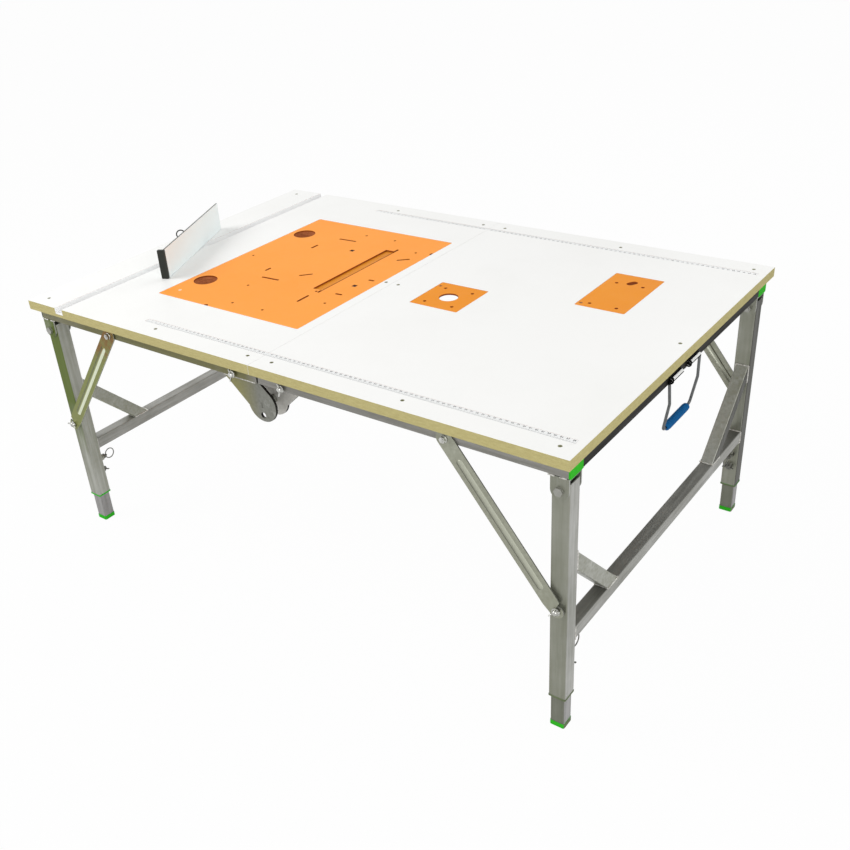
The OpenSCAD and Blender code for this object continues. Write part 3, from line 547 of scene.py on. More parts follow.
@dataclass(frozen=True)
class TubeSteel(Finish):
    """Galvanised steel with streaks along its length, pale rubs, a tint on faces that face -Y towards one
    end, and on a pressed rib a painted highlight on one flank and painted shade on the other.
    """

    roughness: float = 0.42
    metallic: float = 0.45
    grain: Grain = Grain.NONE
    rub: Colour = (206, 207, 202)
    tint: Colour = (126, 128, 62)
    tint_share: float = 0.7
    tint_span: tuple[float, float] = (-0.16, -0.56)
    fade_span: tuple[float, float] = (-0.4, -0.1)
    heat: Colour | None = None
    heat_span: tuple[float, float] = (0.425, 0.46)
    across: Triple | None = None
    lit: Colour = (206, 210, 190)
    shade: Colour = (92, 96, 66)

    def draw(self, sheet: Surface) -> None:
        """Draws clouds, streaks and rubs, and tints the front faces towards one end."""
        clouds = sheet.ramp(sheet.noise(8, 5, rough=0.65), 0.36, 0.66)
        streaks = sheet.ramp(sheet.noise(170, 3, self.grain.value), 0.32, 0.7)
        base = self.mixed(sheet, sheet.sum_of("ADD", sheet.times(clouds, 0.55), sheet.times(streaks, 0.45)))
        rubs = sheet.ramp(sheet.noise(30, 6, self.grain.value, 0.75), 0.56, 0.76)
        rubbed = sheet.blend(sheet.times(rubs, 0.55), base, linear(self.rub))
        amount = self.tint_amount(sheet)
        tinted = sheet.blend(amount, rubbed, linear(self.tint))
        # An orange-brown colour blended in near the top, in patches, where the tint shows.
        if self.heat:
            high = sheet.ramp(sheet.axes(sheet.place())["Z"], *self.heat_span)
            spread = sheet.times(high, sheet.ramp(sheet.noise(60, 3), 0.25, 0.55))
            tinted = sheet.blend(sheet.times(spread, amount), tinted, linear(self.heat))
        # Painted highlight and painted shade on the two flanks of a pressed rib.
        if self.across:
            tinted = self.flanks(sheet, tinted)
        sheet.colour(tinted)
        self.roughness_by(sheet, streaks, 0.08)
        sheet.bump(sheet.noise(420, 2, self.grain.value), 0.00005, 0.6)

    def flanks(self, sheet: Surface, base: Socket) -> Socket:
        """Paints a highlight on the flank of a pressed rib that faces the lamps, and painted shade on the
        other flank.
        """
        lean = sheet.node("VectorMath", operation="DOT_PRODUCT")
        sheet.feed(lean.inputs[0], sheet.node("TexCoord").outputs["Normal"])
        sheet.feed(lean.inputs[1], self.across)
        bright = sheet.blend(sheet.ramp(lean.outputs["Value"], 0.0, 0.25), base, linear(self.lit))
        return sheet.blend(sheet.ramp(lean.outputs["Value"], -0.12, -0.4), bright, linear(self.shade))

    def tint_amount(self, sheet: Surface) -> Socket:
        """Works out how strongly the tint shows at a point: on faces that face -Y, towards one end along X,
        above a height, in patches.
        """
        where = sheet.node("TexCoord").outputs
        place, facing = sheet.axes(where["Object"]), sheet.axes(where["Normal"])
        along = sheet.ramp(place["X"], *self.tint_span)
        front = sheet.ramp(facing["Y"], -0.3, -0.9)
        high = sheet.ramp(place["Z"], *self.fade_span)
        return sheet.times(along, front, sheet.ramp(sheet.noise(11, 3), 0.05, 0.4), high, self.tint_share)


@dataclass(frozen=True)
class PowderCoat(Finish):
    """Powder coated sheet: an orange-peel surface with faint scuffs."""

    scuff: Colour = (255, 206, 150)

    def draw(self, sheet: Surface) -> None:
        """Draws the peel, a slow drift of colour and rubbed patches."""
        drift = self.mixed(sheet, sheet.ramp(sheet.noise(5, 3), 0.3, 0.75))
        marks = sheet.ramp(sheet.noise(26, 7, (1, 3, 1), 0.8), 0.66, 0.8)
        sheet.colour(sheet.blend(sheet.times(marks, 0.35), drift, linear(self.scuff)))
        self.roughness_by(sheet, sheet.noise(35, 4, rough=0.7), 0.08)
        sheet.bump(sheet.noise(1100, 1), 0.00004, 0.5)


@dataclass(frozen=True)
class BoardCore(Finish):
    """The raw edge of a pressed board: fibres and chips in thin layers."""

    def draw(self, sheet: Surface) -> None:
        """Draws long chips, fine specks and faint layers over the height."""
        chips = sheet.ramp(sheet.noise(70, 5, (1, 1, 6), 0.7), 0.3, 0.7)
        specks = sheet.ramp(sheet.noise(900, 2, (1, 1, 2)), 0.52, 0.7)
        dark = tuple(round(v * 0.72) for v in self.second)
        sheet.colour(sheet.blend(sheet.times(specks, 0.45), self.mixed(sheet, chips), linear(dark)))
        sheet.bump(sheet.sum_of("ADD", chips, specks), 0.00012, 0.5)


@dataclass(frozen=True)
class Extrusion(Finish):
    """Anodised aluminium with die lines along Y."""

    def draw(self, sheet: Surface) -> None:
        """Draws die lines and a slow drift of the anodising."""
        lines = sheet.noise(900, 2, Grain.ALONG_Y.value)
        sheet.colour(self.mixed(sheet, sheet.ramp(sheet.noise(12, 3), 0.3, 0.8)))
        self.roughness_by(sheet, lines, 0.06)
        sheet.bump(lines, 0.00004, 0.5)


@dataclass(frozen=True)
class RuledStrip(Finish):
    """A steel rule laid along X: dark ticks at each millimetre, five and ten."""

    edge: float = 345.5 * MM
    width: float = 11 * MM
    line: float = 0.16 * MM
    ticks: tuple[Triple, ...] = ((1 * MM, 0.26, 0.55), (5 * MM, 0.4, 0.8), (10 * MM, 0.5, 1.0))

    def draw(self, sheet: Surface) -> None:
        """Draws three lengths of tick from the rule's outer edge."""
        where = sheet.axes(sheet.place())
        inward = sheet.sum_of("SUBTRACT", self.edge + self.width, sheet.sum_of("ABSOLUTE", where["Y"]))
        drawn: Socket | float = 0.0
        for pitch, reach, depth in self.ticks:
            phase = sheet.sum_of("FRACT", sheet.sum_of("DIVIDE", where["X"], pitch))
            near = sheet.sum_of("ABSOLUTE", sheet.sum_of("SUBTRACT", phase, 0.5))
            on_line = sheet.sum_of("GREATER_THAN", near, 0.5 - self.line / pitch)
            short = sheet.sum_of("LESS_THAN", inward, self.width * reach)
            drawn = sheet.sum_of("MAXIMUM", drawn, sheet.times(on_line, short, depth))
        sheet.colour(self.mixed(sheet, drawn))
        sheet.bump(sheet.noise(900, 2, (1, 8, 1)), 0.00003, 0.4)


LAMINATE = Laminate("white_laminate", (244, 244, 242), (238, 238, 235), 0.45, shine=0.3)
CORE = BoardCore("board_core", (200, 190, 132), (178, 166, 108), 0.75)
# Painted shade: raw board core, darkened and browned, for the walls of the openings.
SHADED_CUT_CORE = BoardCore("cut_core", (196, 118, 72), (152, 84, 48), 0.8, shine=0.2)
STEEL = TubeSteel("plate_steel", (164, 165, 158), (130, 131, 114))
CROSS_STEEL = TubeSteel("cross_steel", (164, 164, 160), (126, 126, 118), grain=Grain.ALONG_Y)
HINGE_FINISH = {
    Side.LEFT: TubeSteel(
        "hinge_steel", (132, 133, 126), (106, 106, 96), 0.45, 0.35, tint=(136, 132, 76), tint_share=0.85,
        tint_span=(-0.005, -0.05)
    ),
    # Painted light: the right half's hinge plates are pale so that they read lit though the rail shades them.
    Side.RIGHT: TubeSteel("pale_hinge", (222, 220, 214), (196, 194, 186), metallic=0.2, rub=(236, 235, 230)),
}
RAIL_STEEL = TubeSteel(
    "rail_steel", (146, 144, 139), (116, 115, 107), grain=Grain.ALONG_X, rub=(182, 182, 178),
    tint=(108, 105, 56), tint_share=0.9, tint_span=(0.0, -0.03)
)
# Painted shade: near-black steel for the top frames' cross rails under the boards and for the hinge plates'
# edges that face +X.
PAINTED_SHADE_STEEL = TubeSteel(
    "shaded_steel", (32, 30, 25), (22, 21, 18), 0.6, 0.1, 0.15, grain=Grain.ALONG_Y, rub=(50, 46, 38)
)
# Painted shade: darker steel for the right crossbar's upper face and the braces' cut edges.
SHADED_GREY_STEEL = TubeSteel(
    "sooty_steel", (112, 112, 106), (84, 84, 78), 0.45, 0.4, grain=Grain.ALONG_Y, rub=(140, 140, 134)
)
# Painted shade: dark steel for faces of the right leg frame that look outward (+X) at the rear.
SHADED_DARK_STEEL = TubeSteel(
    "grimy_steel", (66, 66, 58), (46, 46, 38), 0.5, 0.3, grain=Grain.ALONG_Z, rub=(104, 104, 94)
)
LEG_FINISH = {
    Side.LEFT: TubeSteel(
        "leg_steel", (164, 165, 157), (126, 128, 112), 0.4, grain=Grain.ALONG_Z, tint=(82, 100, 0),
        tint_share=1.0, tint_span=(-0.3, -0.5), fade_span=(0.17, 0.3)
    ),
    Side.RIGHT: TubeSteel(
        "right_leg_steel", (176, 176, 172), (130, 131, 122), 0.36, grain=Grain.ALONG_Z, rub=(224, 225, 222),
        tint=(106, 109, 84), tint_share=0.55, tint_span=(0.3, 0.5)
    ),
}
FOOT_STEEL = TubeSteel(
    "foot_steel", (156, 155, 154), (112, 111, 108), grain=Grain.ALONG_Z, tint=(92, 96, 74),
    tint_span=(0.3, 0.5)
)
BRACE_FINISH = {
    Side.LEFT: TubeSteel(
        "left_brace_steel", (160, 162, 146), (136, 137, 114), 0.36, rub=(190, 192, 176), tint=(122, 128, 60),
        tint_span=(0.0, -0.35), tint_share=0.95, heat=(124, 86, 22), across=(0.788, 0, -0.616),
        lit=(226, 232, 206), shade=(64, 72, 22)
    ),
    Side.RIGHT: TubeSteel(
        "right_brace_steel", (160, 162, 146), (136, 137, 120), 0.36, rub=(186, 188, 174),
        across=(0.788, 0, 0.616), lit=(170, 172, 156), shade=(70, 72, 52)
    ),
}
WIRE_STEEL = TubeSteel("wire_steel", (108, 110, 110), (84, 86, 86), 0.4, 0.5, rub=(140, 140, 138))
# Painted highlight: near-white zinc for the upper faces of the handle clips' curls.
LIT_TOP_ZINC = Plated("white_zinc", (246, 246, 244), (232, 232, 228), 0.4, 0.1)
CHROME = Plated("bright_screw", (214, 214, 210), (120, 120, 112), 0.16, 1.0)
BOLT = Plated("bolt_steel", (166, 166, 160), (128, 128, 120), 0.35, 0.7)
DULL_PLATE = Plated("dull_plate", (116, 116, 110), (84, 84, 78), 0.35, 0.6)
SCREW_ZINC = Plated("screw_zinc", (120, 122, 84), (96, 98, 62), 0.45, 0.5)
RUSTY_SCREW = Plated("rusty_screw", (176, 104, 34), (140, 80, 24), 0.5, 0.2)
WORN_SCREW = Plated("worn_screw", (250, 234, 206), (240, 216, 182), 0.4, 0.2)
BLACK_OXIDE = Plated("black_oxide", (42, 34, 34), (28, 24, 24), 0.45, 0.4)
WELD = WeldMetal("weld_metal", (226, 225, 220), (150, 146, 136), 0.34, 0.5)
ORANGE = PowderCoat("saw_orange", (253, 163, 70), (252, 158, 64), 0.55, shine=0.15)
SMALL_ORANGE = PowderCoat(
    "plate_orange", (238, 150, 36), (234, 143, 32), 0.55, shine=0.15, scuff=(246, 170, 80)
)
# Painted shade: dark brown for the plates' cut walls and for a band of the sunk strip beside the blade slit.
SHADED_CUT_EDGE = PowderCoat("burnt_edge", (158, 78, 28), (128, 58, 18), 0.6, shine=0.1, scuff=(176, 96, 44))
# Painted shade: darker orange for the sunk strip.
SHADED_SUNK_ORANGE = PowderCoat("sunk_orange", (226, 142, 30), (208, 126, 24), 0.5, shine=0.2)
ALUMINIUM = Extrusion("bright_aluminium", (245, 253, 253), (240, 248, 248), 0.55, shine=0.2)
# Darker grey for the upward faces along the fence bar's top.
DARK_TOP_ALUMINIUM = Extrusion("sawn_aluminium", (132, 133, 130), (108, 109, 106), 0.6, 0.2, shine=0.2)
TRACK_METAL = Extrusion("track_aluminium", (245, 245, 244), (237, 237, 237), 0.45, shine=0.3)
RULE = RuledStrip("ruled_strip", (234, 235, 234), (70, 72, 74), 0.42, 0.1, shine=0.4)
INK = Moulding("ruler_ink", (48, 49, 51), (40, 41, 43), 0.6, shine=0.1)
GREEN = Moulding("green_moulding", (58, 190, 44), (50, 176, 38), 0.6, shine=0.03)
# Greyed green: painted shade on the right foot caps' faces that face +X, and the colour of the right collars'
# sides and front half.
GREYED_GREEN = Moulding("dusty_moulding", (112, 124, 92), (96, 106, 78), 0.6, shine=0.1)
BLUE = Moulding("blue_moulding", (24, 98, 156), (18, 86, 140), 0.55, shine=0.05)
# Black moulding for the fence's end cap and knob; also painted shade on the sides of the left rail plugs.
BLACK_AND_SHADE = Moulding("black_moulding", (42, 45, 38), (32, 35, 30), 0.5, shine=0.3)
# Black rubber for the bushes and the wire's inner ends; also painted shade on the handle clips and on the
# wire where it runs in them.
RUBBER_AND_SHADE = Moulding("bush_rubber", (14, 14, 14), (10, 10, 10), 0.8, shine=0.05)


# Pieces


def dress(
    piece: Piece, body: str, slot: str, *finishes: Finish, choose: Choice | None = None, node: str = ""
) -> None:
    """Gives a finished piece its materials, its body and the node it stands for.

    Args:
        piece: The piece, without materials.
        body: The body that it rides on.
        slot: The record's material slot that it belongs to; not used.
        finishes: Its finishes.
        choose: Picks a finish's place among them from a face's middle and normal.
        node: The frame node that it replaces.
    """
    for finish in finishes:
        piece.data.materials.append(finish.material())
    if choose:
        for face in piece.data.polygons:
            face.material_index = choose(face.center, face.normal)
    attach(piece, body)
    if node:
        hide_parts(node)
    log.info("%s rides on %s, %d faces", piece.name, body, len(piece.data.polygons))


def stand_in(piece: Piece, node: str, *finishes: Finish, choose: Choice | None = None) -> None:
    """Dresses a piece that takes the place of a frame node."""
    dress(piece, BODY_OF[node], SLOT_OF[node], *finishes, choose=choose, node=node)


@dataclass
class SoftEdges:
    """Frame nodes that keep their shape and get rounded edges."""

    width: float = 0.4 * MM
    segments: int = 2

    def shape(self, node: str) -> Piece:
        """Copies a node and rounds its edges, within the node's own box."""
        piece = copy_of(node)
        bevel(piece, self.width, self.segments)
        low, high = box_of(node)
        for vertex in piece.data.vertices:
            vertex.co = [min(max(at, least), most) for at, least, most in zip(vertex.co, low, high)]
        return piece

    def make(self, node: str, *finishes: Finish, choose: Choice | None = None) -> None:
        """Puts a rounded copy in a node's place, in one or several finishes."""
        stand_in(self.shape(node), node, *finishes, choose=choose)


@dataclass
class Patterns:
    """Shapes that are modelled once, copied many times, and removed at the end."""

    drawn: dict[object, Piece] = field(default_factory=dict)

    def pattern(self, key: object) -> Piece:
        """Returns the shape for a key, drawn on the first call."""
        if key not in self.drawn:
            self.drawn[key] = self.draw(key)
        return self.drawn[key]

    def draw(self, key: object) -> Piece:
        """Draws the shape for a key; each kind has its own."""
        raise NotImplementedError

    def clear(self) -> None:
        """Removes the shapes, once all copies are made."""
        for piece in self.drawn.values():
            bpy.data.objects.remove(piece)


@dataclass
class Boards:
    """The two boards: white faces, raw edges, and walls in their openings darkened with painted shade."""

    ease: float = 0.4 * MM
    margin: float = 1.5 * MM
    flat: float = 0.97

    def make(self, side: Side) -> None:
        """Builds one board with its three materials."""
        node = f"{side.word}_board"
        box = box_of(node)

        def choose(middle: Vector, normal: Vector) -> int:
            """Finds whether a face is laminate, outer edge or the wall of an opening in painted shade."""
            if abs(normal.z) > self.flat or abs(middle.x) < self.margin:
                return 0
            return 1 if rim(middle, box) < self.margin else 2

        SoftEdges(self.ease).make(node, LAMINATE, CORE, SHADED_CUT_CORE, choose=choose)


@dataclass
class Plates:
    """The three orange plates, with softly broken edges, and painted shade on their cut walls, on the sunk
    strip and in a band beside the blade slit.
    """

    edge: float = 0.3 * MM
    margin: float = 1 * MM
    flat: float = 0.95
    strip_top: float = 526.9 * MM
    soot: float = 3 * MM
    set_screws: tuple[tuple[float, float], ...] = ((17.5 * MM, 115.5 * MM), (146 * MM, -37.5 * MM))
    set_screw_r: float = 4.4 * MM
    set_screw_l: float = 4 * MM
    sunk: float = 2.7 * MM
    socket_r: float = 2.3 * MM
    socket_sunk: float = 0.9 * MM

    def soot_line(self, piece: Piece) -> float:
        """Cuts a narrow band along the sunk strip where it meets the blade slit, which takes painted shade.

        Args:
            piece: The plate's piece.

        Returns:
            Where along X the band starts.
        """
        strip = [vertex.co.x for vertex in piece.data.vertices if vertex.co.z < self.strip_top]
        if not strip:
            return math.inf
        start = max(strip) - self.soot
        with editing(piece) as bm:
            select_faces(piece, bm, lambda middle: middle.z < self.strip_top)
            bpy.ops.mesh.bisect(plane_co=(start, 0, 0), plane_no=(1, 0, 0))
        return start

    def screws(self) -> None:
        """Sets a black socket screw in each square hole of the saw plate."""
        low, high = box_of("saw_plate")
        made = []
        for dx, dy in self.set_screws:
            at = Vector(((low.x + high.x) / 2 + dx, (low.y + high.y) / 2 + dy, high.z))
            screw = cylinder(self.set_screw_r, self.set_screw_l, at - Vector((0, 0, self.sunk)), 32)
            carve(screw, cylinder(self.socket_r, self.set_screw_l, at - Vector((0, 0, self.socket_sunk)), 6))
            settle(screw)
            bevel(screw, 0.2 * MM)
            made.append(screw)
        dress(join(made, "saw_set_screws"), BODY_OF["saw_plate"], "steel", BLACK_OXIDE)

    def make(self, node: str, top: Finish) -> None:
        """Builds one plate in the finish of its top."""
        box = box_of(node)
        piece = SoftEdges(self.edge).shape(node)
        band = self.soot_line(piece)

        def choose(middle: Vector, normal: Vector) -> int:
            """Finds whether a face is the coated top, or painted shade on a cut wall, on the band by the
            slit, or on the rest of the sunk strip.
            """
            if middle.z < self.strip_top:
                return 1 if middle.x > band else 2
            return 1 if rim(middle, box) > self.margin and abs(normal.z) < self.flat else 0

        stand_in(piece, node, top, SHADED_CUT_EDGE, SHADED_SUNK_ORANGE, choose=choose)


@dataclass
class TopScrews:
    """Countersunk screws with a cross recess."""

    arm: float = 1.9 * MM
    blade: float = 0.7 * MM
    depth: float = 1.3 * MM
    turn: float = math.pi / 5

    def cross(self, at: Vector) -> Piece:
        """Makes the cross that is cut out of one head."""
        size = (2 * self.arm, self.blade, 2 * self.depth)
        return join([block(at, size, turn + self.turn) for turn in (0.0, math.pi / 2)], "cross")

    def make(self, side: Side) -> None:
        """Cuts the recess into each screw of one half."""
        node = f"{side.word}_top_screws"
        piece = copy_of(node)
        heads = [Vector(((lo.x + hi.x) / 2, (lo.y + hi.y) / 2, hi.z)) for lo, hi in node_islands(node)]
        carve(piece, join([self.cross(at) for at in heads], "crosses"), use_self=True)
        bevel(piece, 0.12 * MM, 1)
        plates = [box_of(plate) for plate in ("saw_plate", "router_plate", "jigsaw_plate")]

        def choose(middle: Vector, _normal: Vector) -> int:
            """Finds whether a face's screw is in the board, the saw plate or a small plate."""
            inside = [rim(middle, box) > 0 for box in plates]
            return 1 if inside[0] else 2 if any(inside) else 0

        stand_in(piece, node, SCREW_ZINC, WORN_SCREW, RUSTY_SCREW, choose=choose)


@dataclass
class Rulers(Patterns):
    """The numbers on the rulers, each digit drawn once and copied."""

    size: float = 4.8 * MM
    weight: float = 0.1 * MM
    relief: float = 0.03 * MM
    spread: float = 0.54
    zero: float = -300 * MM
    step: float = 10 * MM
    last: int = 88
    row: float = 349 * MM
    top: float = 530 * MM

    def draw(self, key: object) -> Piece:
        """Draws one digit as a thin raised mesh."""
        deselect()
        bpy.ops.object.text_add()
        text = newest().data
        text.body = key
        text.size = self.size
        text.offset = self.weight
        text.align_x = "CENTER"
        text.align_y = "CENTER"
        text.extrude = self.relief
        text.resolution_u = 1
        bpy.ops.object.convert(target="MESH")
        return newest()

    def make(self, side: Side) -> None:
        """Lays the numbers along both rulers of one half."""
        low, high = box_of(f"{side.word}_rulers")
        signs = []
        for number in range(1, self.last + 1):
            x = self.zero + number * self.step
            if not low.x + self.size < x < high.x - self.size:
                continue
            word = str(number)
            for place, sign in enumerate(word):
                shift = (place - (len(word) - 1) / 2) * self.size * self.spread
                for end in End:
                    at = Vector((x + shift, end.value * self.row, self.top))
                    signs.append(duplicate(self.pattern(sign), Matrix.Translation(at)))
        dress(join(signs, f"{side.word}_ruler_numbers"), f"{side.word}_half", "aluminium", INK)


@dataclass
class Beads(Patterns):
    """Weld beads: a rippled rope of metal along each welded joint."""

    radius: float = 1.7 * MM
    pitch: float = 1.9 * MM
    waist: float = 0.78
    laid: list[Piece] = field(default_factory=list)

    def draw(self, key: object) -> Piece:
        """Draws a bead along Z with a number of ripples."""
        deselect()
        bpy.ops.mesh.primitive_circle_add(vertices=8, radius=self.radius * self.waist, fill_type="NOTHING")
        bead = newest()
        with editing(bead, "SELECT"):
            for share in (1 / self.waist, self.waist):
                extrude((0, 0, self.pitch / 2), (share, share, 1), (0, 0, 0))
        modify(
            bead, "ARRAY", count=key, use_relative_offset=False, use_constant_offset=True,
            constant_offset_displace=(0, 0, self.pitch), use_merge_vertices=True, merge_threshold=1e-5
        )
        close_up(bead)
        return bead

    def run(self, start: Vector, stop: Vector) -> None:
        """Lays one bead between two points."""
        line = stop - start
        ripples = max(1, round(line.length / self.pitch))
        stretch = Matrix.Diagonal((1, 1, line.length / (ripples * self.pitch), 1))
        turn = line.to_track_quat("Z", "Y").to_matrix().to_4x4()
        self.laid.append(duplicate(self.pattern(ripples), Matrix.Translation(start) @ turn @ stretch))

    def finish(self, name: str, body: str) -> None:
        """Joins the beads laid so far into one piece on a body."""
        piece = join(self.laid, name)
        self.laid = []
        smooth(piece, 60)
        dress(piece, body, "steel", WELD)


@dataclass
class Frames:
    """Welded frames: the top frames and the folding leg frames."""

    bar: float = 25 * MM
    bar_z: float = 184 * MM
    strut_z: float = 326 * MM
    bar_x: float = 577.5 * MM
    leg_inner: float = 349 * MM
    rail_inner: float = 345 * MM
    rail_z: float = 487 * MM
    cross_rails: tuple[float, float] = (14.5 * MM, 580.5 * MM)
    rail_face: float = 382.2 * MM
    bracket_welds: tuple[float, float] = (557 * MM, 576 * MM)
    bracket_weld_l: float = 11 * MM
    hinge_face: float = 380.4 * MM
    hinge_weld: tuple[float, float] = (6 * MM, 82 * MM)
    slack: float = 0.1 * MM
    beads: Beads = field(default_factory=Beads)

    def top_frame(self, side: Side) -> None:
        """Dresses a top frame: long rails, cross rails and brackets each by its grain, the cross rails in
        near-black painted shade.
        """
        def choose(middle: Vector, _normal: Vector) -> int:
            """Finds the rail or bracket that a face belongs to."""
            if middle.z < self.rail_z - self.slack:
                return 2
            return 0 if abs(middle.y) > self.rail_inner - self.slack else 1

        SoftEdges().make(f"{side.word}_top_frame", RAIL_STEEL, PAINTED_SHADE_STEEL, LEG_FINISH[side], choose=choose)
        half = self.bar / 2
        for end in End:
            y, z = self.rail_inner - 0.6 * MM, self.rail_z + 1.2 * MM
            for x in self.cross_rails:
                self.weld(side, end, (x - half, y, z), (x + half, y, z))
                for edge in (x - half, x + half) if x < self.bar_x else (x - half,):
                    self.weld(side, end, (edge, y, z), (edge, y, z + 20 * MM))
            y, z = self.rail_face, self.rail_z - 0.6 * MM
            for x in self.bracket_welds:
                self.weld(side, end, (x, y, z), (x + self.bracket_weld_l, y, z))
            y = self.hinge_face if side is Side.LEFT else self.rail_inner - 0.4 * MM
            z = self.rail_z - 0.9 * MM
            self.weld(side, end, *((x, y, z) for x in self.hinge_weld))
        self.beads.finish(f"{side.word}_frame_welds", f"{side.word}_half")

    def weld(self, side: Side, end: End, *line: Triple) -> None:
        """Lays a bead along a line given for the right rear quarter."""
        self.beads.run(*(Vector((side.value * x, end.value * y, z)) for x, y, z in line))

    def leg_frame(self, side: Side) -> None:
        """Dresses a leg frame and welds its crossbar and struts."""
        top = self.bar_z + self.bar / 2

        def away(middle: Vector, normal: Vector) -> int:
            """Finds whether a face looks outward at the rear of the right frame, which takes painted shade.
            """
            return int(side is Side.RIGHT and middle.y > 0 and normal.x > 0.7)

        def choose(middle: Vector, normal: Vector) -> int:
            """Finds whether a face is the crossbar's side, its upper face (painted shade on the right frame),
            or a strut.
            """
            if middle.z > top + self.slack:
                return 3 if away(middle, normal) else 1
            return 2 if normal.z > 0.8 else 0

        # On the right frame the crossbar's upper face takes painted shade.
        upper = CROSS_STEEL if side is Side.LEFT else SHADED_GREY_STEEL
        SoftEdges().make(f"{side.word}_crossbar", CROSS_STEEL, STEEL, upper, SHADED_DARK_STEEL, choose=choose)
        SoftEdges().make(f"{side.word}_legs", LEG_FINISH[side], SHADED_DARK_STEEL, choose=away)
        # The right collars' sides and front half take the greyed green.
        SoftEdges(0.3 * MM).make(
            f"{side.word}_leg_collars", GREEN, GREYED_GREEN,
            choose=lambda middle, normal: int(side is Side.RIGHT and (abs(normal.z) < 0.5 or middle.y < 0))
        )
        flat, diagonal = self.bar / 2, self.bar / 2 * math.sqrt(2)
        for end in End:
            inner, foot = self.leg_inner - 0.5 * MM, self.leg_inner - (self.strut_z - top)
            self.weld_round(side, end.value * inner, self.bar_z, (0, flat))
            self.weld_round(side, end.value * inner, self.strut_z, (0, diagonal))
            self.weld_round(side, end.value * foot, top + 0.5 * MM, (diagonal, 0))
        self.beads.finish(f"{side.word}_leg_frame_welds", f"{side.word}_leg_frame")

    def weld_round(self, side: Side, y: float, z: float, half: tuple[float, float]) -> None:
        """Welds round the end of a bar of the leg frame.

        Args:
            side: The frame's side.
            y: Place of the end's middle along Y.
            z: Its height.
            half: Half of the end's width along Y and along Z.
        """
        corners = [
            Vector((side.value * self.bar_x + i * self.bar / 2, y + k * half[0], z + k * half[1]))
            for i, k in SQUARE
        ]
        for first, second in zip(corners, corners[1:] + corners[:1]):
            self.beads.run(first, second)


@dataclass
class WingScrews(Patterns):
    """Cast wing screws: a turned hub, two soft wings and a threaded shank."""

    flange_r: float = 7 * MM
    flange_t: float = 2 * MM
    wing_h: float = 9 * MM
    hub_h: float = 6.6 * MM
    shank_r: float = 3 * MM
    pitch: float = 1 * MM
    swells: tuple[tuple[Triple, float], ...] = (
        ((2.6, 0, 1.0), 1.12), ((2.3, 0, 1.1), 1.05), ((1.3, 0, 0.3), 0.7)
    )

    def wing(self, turn: float) -> Piece:
        """Draws one wing from a block by three extrusions, in the XZ plane."""
        wing = block((4.4 * MM, 0, 3.7 * MM), (3 * MM, 2.7 * MM, 4.2 * MM))
        for step, share in self.swells:
            rise = Vector(step) * MM
            with editing(wing) as bm:
                tip = max((face.calc_center_median() for face in bm.faces), key=lambda middle: middle.x)
                select_faces(wing, bm, lambda middle: middle.x > tip.x - 1e-5)
                extrude(rise, (1, 0.94, share), tip + rise)
        modify(wing, "SUBSURF", levels=2, render_levels=2)
        wing.data.transform(Matrix.Rotation(turn, 4, "Z"))
        return wing

    def draw(self, key: object) -> Piece:
        """Draws a wing screw along +Z with a shank of a given length."""
        shank, root = key, self.shank_r - 0.5 * MM
        r, t, h = self.flange_r, self.flange_t, self.hub_h
        hub = turned([
            (r - 0.4 * MM, 0), (r, 0.3 * MM), (r, t - 0.4 * MM), (r - 0.5 * MM, t), (5.4 * MM, t + 0.2 * MM),
            (4.8 * MM, t + 1.6 * MM), (4.3 * MM, h - 0.8 * MM), (3.6 * MM, h), (1.2 * MM, h + 0.3 * MM)
        ], 32)
        core = turned([(root - 0.6 * MM, -shank), (root, -shank + 0.7 * MM), (root, 0.4 * MM)], 24)
        ridge = thread(self.shank_r - 0.02 * MM, self.pitch, shank - 1.6 * MM)
        ridge.data.transform(Matrix.Translation((0, 0, -shank + 0.9 * MM)))
        piece = join([hub, core, ridge, self.wing(0), self.wing(math.pi)], "wing_screw_pattern")
        smooth(piece, 40)
        return piece

    def make(self, node: str, turn: float, inward: bool, finish: Finish = CHROME) -> None:
        """Builds one wing screw in place of its node.

        Args:
            node: The screw's node.
            turn: Angle of the wings from level.
            inward: Whether the wings face the middle of the table.
            finish: Its finish.
        """
        low, high = box_of(node)
        middle = (low + high) / 2
        away = (1 if middle.y > 0 else -1) * (-1 if inward else 1)
        shank = high.y - low.y - self.wing_h
        tip = low.y if away > 0 else high.y
        seat = Vector((middle.x, tip + away * shank, middle.z))
        upright = Matrix.Rotation(-away * math.pi / 2, 4, "X")
        lean = Matrix.Rotation(turn * (1 if middle.x > 0 else -1), 4, "Y")
        piece = duplicate(self.pattern(round(shank, 7)), Matrix.Translation(seat) @ lean @ upright)
        piece.name = f"{node}_finished"
        stand_in(piece, node, finish)


